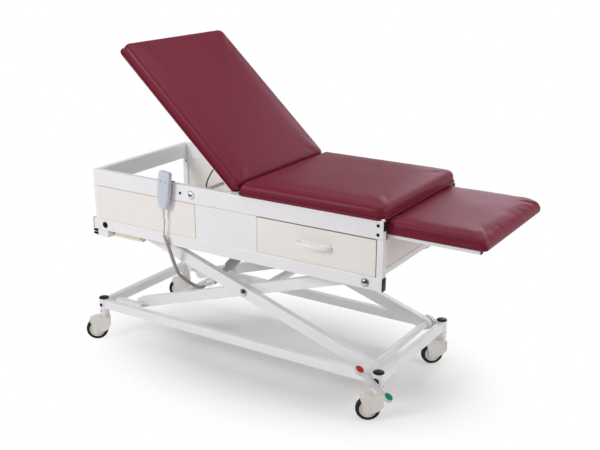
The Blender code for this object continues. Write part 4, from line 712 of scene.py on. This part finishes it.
seatHem = makeHem("seatHem", "seatPad")
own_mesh(seatHem)
makeHem("backrestHem", "backrestPad")
print("cushions ready")


# heads of screws, plugs and domes, set by geometry nodes on marked points
def makeHeadTree():
    tree = bpy.data.node_groups.new("fastenerHeads", "GeometryNodeTree")
    for name, way, kind in (("Geometry", "INPUT", "Geometry"), ("Head Radius", "INPUT", "Float"),
                            ("Head Height", "INPUT", "Float"), ("Rim Height", "INPUT", "Float"),
                            ("Sides", "INPUT", "Int"), ("Finish", "INPUT", "Material"),
                            ("Geometry", "OUTPUT", "Geometry")):
        tree.interface.new_socket(name=name, in_out=way, socket_type="NodeSocket" + kind)
    enter = addNode(tree, "NodeGroupInput")
    leave = addNode(tree, "NodeGroupOutput")
    rim = addNode(tree, "GeometryNodeMeshCylinder")
    half = addNode(tree, "ShaderNodeMath", {1: 0.5}, operation="MULTIPLY")
    liftBy = addNode(tree, "ShaderNodeCombineXYZ")
    lift = addNode(tree, "GeometryNodeTransform")
    ball = addNode(tree, "GeometryNodeMeshUVSphere", {"Rings": 10})
    inner = addNode(tree, "ShaderNodeMath", {1: 0.94}, operation="MULTIPLY")
    flat = addNode(tree, "ShaderNodeMath", operation="DIVIDE")
    flatten = addNode(tree, "ShaderNodeCombineXYZ", {0: 1, 1: 1})
    squeeze = addNode(tree, "GeometryNodeTransform")
    join = addNode(tree, "GeometryNodeJoinGeometry")
    facing = addNode(tree, "GeometryNodeInputNamedAttribute", {"Name": "facing"}, data_type="FLOAT_VECTOR")
    align = addNode(tree, "FunctionNodeAlignRotationToVector", axis="Z")
    setOut = addNode(tree, "GeometryNodeInstanceOnPoints")
    real = addNode(tree, "GeometryNodeRealizeInstances")
    paint = addNode(tree, "GeometryNodeSetMaterial")
    wire(tree, (enter, "Sides", rim, "Vertices"), (enter, "Head Radius", rim, "Radius"),
         (enter, "Rim Height", rim, "Depth"), (enter, "Rim Height", half, 0), (half, 0, liftBy, 2),
         (rim, "Mesh", lift, "Geometry"), (liftBy, 0, lift, "Translation"), (enter, "Head Radius", inner, 0),
         (inner, 0, ball, "Radius"), (enter, "Sides", ball, "Segments"), (enter, "Head Height", flat, 0),
         (enter, "Head Radius", flat, 1), (flat, 0, flatten, 2), (ball, "Mesh", squeeze, "Geometry"),
         (flatten, 0, squeeze, "Scale"), (lift, 0, join, 0), (squeeze, 0, join, 0),
         (enter, "Geometry", setOut, "Points"), (join, 0, setOut, "Instance"), (facing, 0, align, "Vector"),
         (align, 0, setOut, "Rotation"), (setOut, 0, real, 0), (real, 0, paint, "Geometry"),
         (enter, "Finish", paint, "Material"), (paint, 0, leave, 0))
    return tree


headTree = makeHeadTree()
# radius, height of the dome, height of the rim and number of sides
headSizes = {
    "railPlugs": (0.0142, 0.0022, 0.0012, 32), "railScrews": (0.0066, 0.0018, 0.0008, 24),
    "postScrews": (0.0040, 0.0018, 0.0010, 24), "holePlugs": (0.0062, 0.0010, 0.0006, 24),
    "borePlugs": (0.0078, 0.0016, 0.0008, 24), "stemScrews": (0.0042, 0.0030, 0.0018, 6),
    "guideBolts": (0.0046, 0.0030, 0.0018, 6), "frameDomes": (0.0175, 0.0098, 0.0012, 40),
    "pinDomes": (0.0175, 0.0098, 0.0012, 40),
}
# distance from the middle, then X and Z; a distance below 0 is an inner face, which looks across the table
headPlaces = {
    "railPlugs": (halfFrame, ((-0.649, 0.571),)), "holePlugs": (halfFrame, ((-0.217, 0.784),)),
    "railScrews": (halfFrame, ((0.703, 0.801), (0.703, 0.766))), "postScrews": (-0.2952, ((-0.682, 0.731),)),
    "borePlugs": (tubeY + 0.0218, ((-tubeX, boreLevel),)), "pinDomes": (0.265, ((0.0535, 0.3805),)),
    "frameDomes": (halfFrame, ((0.655, 0.571), (-0.160, 0.784))),
}
stemScrewShape = {"face": 0.0216, "endLevel": 0.149, "sideLevel": 0.142}
guideBoltShape = {"fromEnd": 0.008, "level": 0.015}


def setHeads(name, places, look, body):
    # places are pairs of a point and the way the head faces
    mesh = bpy.data.meshes.new(name + "Points")
    mesh.from_pydata([tuple(point) for point, way in places], [], [])
    facing = mesh.attributes.new("facing", "FLOAT_VECTOR", "POINT")
    for item, (point, way) in zip(facing.data, places):
        item.vector = Vector(way).normalized()
    holder = show(bpy.data.objects.new(name + "Points", mesh))
    heads = holder.modifiers.new("heads", "NODES")
    heads.node_group = headTree
    wanted = dict(zip(("Head Radius", "Head Height", "Rim Height", "Sides"), headSizes[name]), Finish=look)
    for socket in headTree.interface.items_tree:
        if socket.in_out == "INPUT" and socket.name in wanted:
            heads[socket.identifier] = wanted[socket.name]
    made = evaluatedMesh(holder)
    bpy.data.objects.remove(holder, do_unlink=True)
    made.shade_smooth()
    made.set_sharp_from_angle(angle=radians(40))
    piece = show(bpy.data.objects.new(name, made))
    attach(piece, body)


def setSideHeads(name, look, body):
    distance, places = headPlaces[name]
    marked = [(spot(x, side * distance, z), way) for side, way in sides for x, z in places]
    setHeads(name, marked, look, body)


for headName in ("railPlugs", "railScrews", "postScrews", "holePlugs"):
    setSideHeads(headName, blackPlastic, "upper_frame")


# black plugs in the ends of the lower rails, and black blocks at the upper rails' foot ends that are painted
# shadow of the gap to the leg rest pad: inner and outer distance from the frame's side, X ranges and Z range
endPlugsAndShade = {
    "railEndPlugs": (0.0298, 0.0002, ((-0.7194, -0.7168), (0.7248, 0.7272)), (0.5452, 0.5968)),
    # black blocks at the upper rails' foot ends, painted shadow of the gap to the leg rest pad
    "upperRailEndShade": (0.0240, 0.0008, ((0.7248, 0.7270),), (0.7815, 0.8190)),
}
# turned trims: pairs of radius and height, places, the way they face and the steps round them
turnedTrims = {
    "headBuffers": {
        "profile": ((0.0066, 0.0002), (0.0067, 0.004), (0.0064, 0.006), (0.0058, 0.028), (0.0046, 0.0306),
                    (0, 0.0310)),
        "places": [(-0.695, side * 0.3157, z) for side in (-1, 1) for z in (0.53606, 0.52134)],
        "way": (-1, 0, 0), "steps": 20},
    "cornerCaps": {
        "profile": ((0.0224, 0.0), (0.0226, 0.0012), (0.0224, 0.0030), (0.0212, 0.0046), (0.0192, 0.0053),
                    (0.0, 0.0056)),
        "places": [(end * tubeX, side * tubeY, 0.2012) for end, side in corners.values()],
        "way": (0, 0, 1), "steps": 40},
    "barBush": {
        "profile": ((0.0078, 0.0), (0.0125, 0.0), (0.0132, 0.0008), (0.0132, 0.0030), (0.0122, 0.0042),
                    (0.0090, 0.0046), (0.0078, 0.0040), (0.0078, 0.0)),
        "places": [(tubeX, -0.3210, boreLevel)], "way": (0, -1, 0), "steps": 32},
    "railGuides": {
        "profile": ((0.0, 0.0), (0.0080, 0.0), (0.0086, 0.0008), (0.0086, 0.0072), (0.0078, 0.0082),
                    (0.0040, 0.0086), (0.0, 0.0084)),
        "places": [(0.7218, side * 0.2885, 0.7375) for side in (-1, 1)], "way": (1, 0, 0), "steps": 28},
}


def makeEndPlugsAndShade(name):
    inner, outer, ends, (bottom, top) = endPlugsAndShade[name]
    bm = bmesh.new()
    for side in (-1, 1):
        low, high = sorted((side * (halfFrame - inner), side * (halfFrame - outer)))
        for x0, x1 in ends:
            addBlock(bm, spot(x0, low, bottom), spot(x1, high, top), 0.0009)
    finishPiece(name, bm, blackPlastic, "upper_frame")


def makeTrim(name, look, body):
    values = turnedTrims[name]
    bm = bmesh.new()
    for place in values["places"]:
        addTurned(bm, values["profile"], spot(*place), values["way"], values["steps"])
    finishPiece(name, bm, look, body)


def setStemScrews():
    out, endLevel, sideLevel = stemScrewShape.values()
    places = []
    for end, side in corners.values():
        places.append((spot(end * (tubeX + out), side * tubeY, endLevel), (end, 0, 0)))
        places.append((spot(end * tubeX, side * (tubeY + out), sideLevel), (0, side, 0)))
    setHeads("stemScrews", places, blueZinc, "base")


def setGuideBolts():
    inward, level = guideBoltShape.values()
    places = []
    for tag, (side, way) in zip(("near", "far"), sides):
        low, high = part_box("slide_guide_" + tag)
        y = low[1] if side < 0 else high[1]
        places += [((x, y, low[2] + level), way) for x in (low[0] + inward, high[0] - inward)]
    setHeads("guideBolts", places, blueZinc, "upper_frame")


makeEndPlugsAndShade("railEndPlugs")
makeTrim("headBuffers", blackPlastic, "upper_frame")
makeTrim("cornerCaps", blackPlastic, "base")
setSideHeads("borePlugs", blackPlastic, "base")
setStemScrews()
setGuideBolts()
print("fasteners ready")


# wheels: a soft tread on a dished hub; profiles are pairs of radius and distance from the wheel's side,
# or, for crown and bore, radius and share of its half width
wheelShape = {
    "radius": 0.050, "width": 0.026, "trail": 0.038,
    "swivel": {"near_head": 38.0, "far_head": 34.0, "near_foot": 31.0, "far_foot": 42.0},
    "treadSide": ((0.0352, 0.0002), (0.0415, -0.0001), (0.0445, 0.0004)),
    "treadCrown": ((0.0475, 0.80), (0.0491, 0.58), (0.0498, 0.3)), "treadBore": (0.0345, 0.5),
    "hubSide": ((0.0074, 0.001), (0.012, 0.0008), (0.013, 0.003), (0.030, 0.004), (0.0315, 0.001),
                (0.0349, 0.0006)),
}
casterTrim = {
    "collarLevel": 0.1178, "capOut": 0.0210,
    "collar": ((0.0192, 0.0), (0.0216, 0.0006), (0.0219, 0.0030), (0.0212, 0.0042), (0.0212, 0.0050),
               (0.0219, 0.0062), (0.0217, 0.0086), (0.0200, 0.0094), (0.0192, 0.0094), (0.0192, 0.0)),
    "axleCap": ((0.0088, -0.001), (0.0088, 0.0008), (0.0080, 0.0016), (0.0050, 0.0019), (0.0045, 0.0013),
                (0, 0.0012)),
}


def casterPlace(corner):
    end, side = corners[corner]
    swivel = Matrix.Rotation(radians(wheelShape["swivel"][corner]), 4, "Z")
    turn = Matrix.Translation(spot(end * tubeX, side * tubeY, 0)) @ swivel
    return turn, turn @ Vector((-wheelShape["trail"], 0, wheelShape["radius"]))


def makeWheel(corner):
    turn, axle = casterPlace(corner)
    way = turn.to_3x3() @ Vector((0, 1, 0))
    w = wheelShape["width"] / 2
    flank = [(radius, -w + inset) for radius, inset in wheelShape["treadSide"]]
    flank += [(radius, -share * w) for radius, share in wheelShape["treadCrown"]]
    bore, share = wheelShape["treadBore"]
    tread = flank + [(wheelShape["radius"], 0.0)] + [(radius, -level) for radius, level in reversed(flank)]
    tread += [(bore, share * w), (bore, -share * w), flank[0]]
    bm = bmesh.new()
    addTurned(bm, tread, axle, way, 56)
    tyre = finishPiece("tyre_" + corner, bm, darkTyre, "wheel_" + corner, 30)
    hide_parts("wheel_" + corner)
    dish = [(radius, -w + inset) for radius, inset in wheelShape["hubSide"]]
    hub = dish + [(radius, -level) for radius, level in reversed(dish)] + dish[:1]
    bm = bmesh.new()
    addTurned(bm, hub, axle, way, 40)
    finishPiece("hub_" + corner, bm, creamPlastic, "wheel_" + corner, 30)


def makeCasterTrim(corner):
    turn, axle = casterPlace(corner)
    bm = bmesh.new()
    addTurned(bm, casterTrim["collar"], turn @ Vector((0, 0, casterTrim["collarLevel"])), (0, 0, 1), 40)
    for way in (-1, 1):
        out = turn.to_3x3() @ Vector((0, way, 0))
        addTurned(bm, casterTrim["axleCap"], axle + casterTrim["capOut"] * out, out, 28)
    finishPiece("casterTrim_" + corner, bm, creamPlastic, "swivel_" + corner, 35)


for cornerName in corners:
    makeWheel(cornerName)
for cornerName in corners:
    makeCasterTrim(cornerName)
print("casters ready")


# brake rocker at the near foot corner
pedalShape = {"middle": (tubeX, -0.3436, boreLevel), "tilt": 33.0, "reach": 0.075, "endRadius": 0.0205,
              "bar": 0.0098, "hub": 0.0050, "hubReach": 0.02, "thick": 0.0066, "swell": 0.3,
              "swellReach": 0.024, "padRadius": 0.0170, "stations": 72}


def pedalHalfWidth(x):
    bar = pedalShape["bar"] + pedalShape["hub"] * exp(-(x / pedalShape["hubReach"]) ** 2)
    past = abs(x) - pedalShape["reach"]
    disc = sqrt(max(0.0, pedalShape["endRadius"] ** 2 - past ** 2))
    return disc if past > 0 else max(bar, disc)


def makePedal():
    place = tilted(pedalShape["middle"], pedalShape["tilt"])
    tip = pedalShape["reach"] + pedalShape["endRadius"]
    steps = pedalShape["stations"]
    stations = [-tip * cos(pi * i / steps) for i in range(steps + 1)]
    outline = [(s, -pedalHalfWidth(s)) for s in stations[:-1]]
    outline += [(s, pedalHalfWidth(s)) for s in reversed(stations[1:])]
    t = pedalShape["thick"]
    rings = []
    for inset, level in ((0.0035, -t), (0.0010, -t + 0.001), (0.0, -t + 0.0035), (0.0, t - 0.003),
                         (0.0010, t - 0.0008), (0.003, t)):
        along, across = 1 - inset / tip, 1 - inset / 0.018
        ring = []
        for a, b in outline:
            swell = 1 + pedalShape["swell"] * exp(-(a / pedalShape["swellReach"]) ** 2)
            ring.append(place @ Vector((a * along, b * across, level * swell)))
        rings.append(ring)
    bm = bmesh.new()
    addRings(bm, rings, capped=True)
    pedal = finishPiece("brakePedal", bm, pedalGrey, "brake", 50)
    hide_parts("brake_pedal")
    up = place.to_3x3() @ Vector((0, 0, 1))
    r = pedalShape["padRadius"]
    padProfile = ((r, -0.0015), (r, 0.0022), (0.93 * r, 0.0034), (0.78 * r, 0.0040), (0.70 * r, 0.0034),
                  (0.62 * r, 0.0036), (0.3 * r, 0.0040), (0, 0.0041))
    rimProfile = ((r + 0.0002, -0.001), (r + 0.0002, 0.0014), (r + 0.0010, 0.0021), (r + 0.0024, 0.0016),
                  (r + 0.0028, -0.001), (r + 0.0002, -0.001))
    rims = bmesh.new()
    for name, end, look, slot in (("redPad", -1, redPlastic, "red_plastic"),
                                  ("greenPad", 1, greenPlastic, "green_plastic")):
        foot = place @ Vector((end * pedalShape["reach"], 0, t))
        bm = bmesh.new()
        addTurned(bm, padProfile, foot, up, 40)
        pad = finishPiece(name, bm, look, "brake", 60)
        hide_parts("pedal_pad_red" if end < 0 else "pedal_pad_green")
        addTurned(rims, rimProfile, foot, up, 40)
    finishPiece("pedalRims", rims, pedalGrey, "brake", 60)


makePedal()
makeTrim("barBush", blackPlastic, "base")
print("brake rocker ready")


# handset: a slim rounded case with two arrow buttons and a ribbed cable sleeve
handsetShape = {
    "middle": (-0.2815, -0.3481, 0.793), "tilt": 6.8, "length": 0.162, "thick": 0.023, "edge": 0.0055,
    "halfWidths": ((0.0185, 0.0810), (0.0245, 0.0795), (0.0275, 0.0755), (0.0287, 0.0690), (0.0294, 0.0400),
                   (0.0296, 0.0050), (0.0287, -0.0250), (0.0267, -0.0450), (0.0232, -0.0620),
                   (0.0185, -0.0740), (0.0136, -0.0795), (0.0087, -0.0810)),
    "widest": 0.0296, "buttonRadius": 0.0068, "buttonSpacing": 0.023, "buttonDrop": 0.041,
    "arrow": 0.0031, "arrowLevels": (0.0015, 0.00205), "sleeve": 0.046, "ribs": 7, "ribPitch": 0.0055,
}


def handsetOutline(inset):
    right = smoothRoute([(x, 0, z) for x, z in handsetShape["halfWidths"]], 0.004)
    across, along = 1 - inset / handsetShape["widest"], 1 - inset / (handsetShape["length"] / 2)
    points = [(p.x * across, p.z * along) for p in right]
    return points + [(-x, z) for x, z in reversed(points)]


def sleeveProfile():
    profile = [(0.0, 0.0), (0.0062, 0.0), (0.0062, 0.004)]
    for i in range(handsetShape["ribs"]):
        start = 0.006 + i * handsetShape["ribPitch"]
        r = 0.0056 - 0.00028 * i
        profile += [(r, start), (r, start + 0.0030)]
        profile += [(r - 0.0009, start + 0.0034), (r - 0.0009, start + 0.0050)]
    return profile + [(0.0034, handsetShape["sleeve"]), (0.0, handsetShape["sleeve"])]


def makeHandset():
    place = tilted(handsetShape["middle"], handsetShape["tilt"])
    turn = place.to_3x3()
    face = turn @ Vector((0, -1, 0))
    edge = handsetShape["edge"]
    halfThick = handsetShape["thick"] / 2
    halfLength = handsetShape["length"] / 2
    rounding = [radians(angle) for angle in (0, 22.5, 45, 67.5, 90)]
    profile = [(edge * (1 - sin(a)), -halfThick + edge * (1 - cos(a))) for a in rounding]
    profile += [(inset, -depth) for inset, depth in reversed(profile)]
    rings = [[place @ Vector((x, depth, z)) for x, z in handsetOutline(inset)] for inset, depth in profile]
    bm = bmesh.new()
    addRings(bm, rings, capped=True)
    addTurned(bm, sleeveProfile(), place @ Vector((0, 0, -halfLength + 0.001)), (0, 0, -1), 24)
    case = finishPiece("handsetCase", bm, blueGreyPlastic, "upper_frame", 35, False)
    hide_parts("handset")
    r = handsetShape["buttonRadius"]
    capProfile = ((r, -0.002), (r, 0.0008), (0.92 * r, 0.0015), (0.6 * r, 0.0018), (0, 0.0019))
    size = handsetShape["arrow"]
    for name, step, point in (("up", -0.5, 1), ("down", 0.5, -1)):
        centre = place @ Vector((step * handsetShape["buttonSpacing"], -halfThick,
                                 halfLength - handsetShape["buttonDrop"]))
        bm = bmesh.new()
        addTurned(bm, capProfile, centre, face, 36)
        body = "button_" + name
        button = finishPiece(body + "_cap", bm, blueGreyPlastic, body, 60)
        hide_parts("handset_button_" + name)
        ring = [turn @ Vector((a * size, 0, point * b * size)) for a, b in ((-1, -0.6), (1, -0.6), (0, 1.0))]
        rings = [[centre + p + face * level for p in ring] for level in handsetShape["arrowLevels"]]
        bm = bmesh.new()
        addRings(bm, rings, capped=True)
        finishPiece("arrow_" + name, bm, darkTyre, body, 20)


makeHandset()
print("handset ready")

# chrome domes over the ends of the cross shafts and centre pins
setSideHeads("frameDomes", polishedChrome, "upper_frame")
setSideHeads("pinDomes", polishedChrome, "outer_arms")


# brown strips round the panels and drawer fronts are edge banding and painted shade of the gaps to the rails:
# width of the top, bottom, head and foot band;
# faces are the X and Z range of a panel and of a drawer front without its bands
edgeStrip = {"panel": (0.0011, 0.0006, 0.0006, 0.0020), "drawer": (0.0017, 0.0, 0.0, 0.0019),
             "lip": (0.0, 0.0026, 0.0027, 0.0), "proud": 0.0003, "deep": 0.004, "edge": 0.0002,
             "panelFace": (-0.6735, -0.1416, 0.5974, 0.7474),
             "drawerFace": (0.1675, 0.6965, 0.6005, 0.7445),
             # the foot band is painted shadow of the gap under the foot panel
             "footGapShadeBand": ((0.7212, -0.294, 0.6301), (0.7225, 0.294, 0.6318))}


def makeEdging(name, box, side, body, widths, look):
    # box is the X and Z range inside the bands
    x0, x1, z0, z1 = box
    top, bottom, head, foot = widths
    y0, y1 = sorted((side * (halfFrame - edgeStrip["deep"]), side * (halfFrame + edgeStrip["proud"])))
    bm = bmesh.new()
    for a, b in (((x0, z1), (x1 + foot, z1 + top)), ((x0 - head, z0 - bottom), (x1, z0)),
                 ((x0 - head, z0), (x0, z1)), ((x1, z0), (x1 + foot, z1))):
        if min(b[0] - a[0], b[1] - a[1]) > 0.0001:
            addBlock(bm, spot(a[0], y0, a[1]), spot(b[0], y1, b[1]), edgeStrip["edge"], 1)
    finishPiece(name, bm, look, body, weld=False)


def makeSideEdging(tag, side):
    top, bottom, head, foot = edgeStrip["panel"]
    x0, x1, z0, z1 = edgeStrip["panelFace"]
    panelInside = (x0 + head, x1 - foot, z0 + bottom, z1 - top)
    drawerFace = edgeStrip["drawerFace"]
    # the brown strips carry painted shade of the gaps between the panels, the drawer fronts and the rails
    makeEdging("panelEdgingAndGapShade_" + tag, panelInside, side, "upper_frame", edgeStrip["panel"], edgingAndGapShadeBrown)
    makeEdging("drawerEdgingAndGapShade_" + tag, drawerFace, side, "drawer_" + tag, edgeStrip["drawer"], edgingAndGapShadeBrown)
    makeEdging("drawerLip_" + tag, drawerFace, side, "drawer_" + tag, edgeStrip["lip"], creamLaminate)


# a brown strip under the foot panel is painted shadow of the gap between the foot panel and the cross rail
# below it
def makeFootGapShade():
    low, high = edgeStrip["footGapShadeBand"]
    bm = bmesh.new()
    addBlock(bm, spot(*low), spot(*high), edgeStrip["edge"], 1)
    finishPiece("footGapShade", bm, edgingAndGapShadeBrown, "upper_frame", weld=False)


makeSideEdging("near", -1)
makeSideEdging("far", 1)
makeFootGapShade()
makeTrim("railGuides", whitePaint, "upper_frame")
# black blocks at the upper rails' foot ends are painted shadow of the gap to the leg rest pad
makeEndPlugsAndShade("upperRailEndShade")


# bow handles on the drawers
handleShape = {"middle": 0.432, "level": 0.6785, "span": 0.148, "bow": 0.032, "thick": 0.0062, "wide": 0.0085,
               "foot": 0.004, "proud": 0.0015, "steps": 40, "around": 16}


def makeHandle(tag, side):
    values = handleShape
    rings = []
    for i in range(values["steps"] + 1):
        t = radians(-90 + 180 * i / values["steps"])
        along = values["span"] / 2 * sin(t)
        out = 0.0
        if abs(cos(t)) > 1e-6:
            out = values["foot"] + (values["bow"] - values["foot"] + values["proud"]) * cos(t) ** 0.8
        ahead = Vector((cos(t) * values["span"] / 2, -sin(t) * values["bow"], 0)).normalized()
        outward = Vector((-ahead.y, ahead.x, 0))
        wide = values["wide"] * (0.75 + 0.35 * max(0.0, cos(t)))
        ring = []
        for k in range(values["around"]):
            a = 2 * pi * k / values["around"]
            p = Vector((along, out, 0)) + outward * (values["thick"] * 0.8 * cos(a))
            y = side * (halfFrame + max(0.0001, p.y))
            ring.append(spot(values["middle"] + p.x, y, values["level"] + wide * sin(a)))
        rings.append(ring)
    bm = bmesh.new()
    addRings(bm, rings, capped=True)
    bow = finishPiece("bowHandle_" + tag, bm, whitePaint, "drawer_" + tag, 60)
    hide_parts("drawer_handle_" + tag)


makeHandle("near", -1)
makeHandle("far", 1)
print("handles and trims ready")
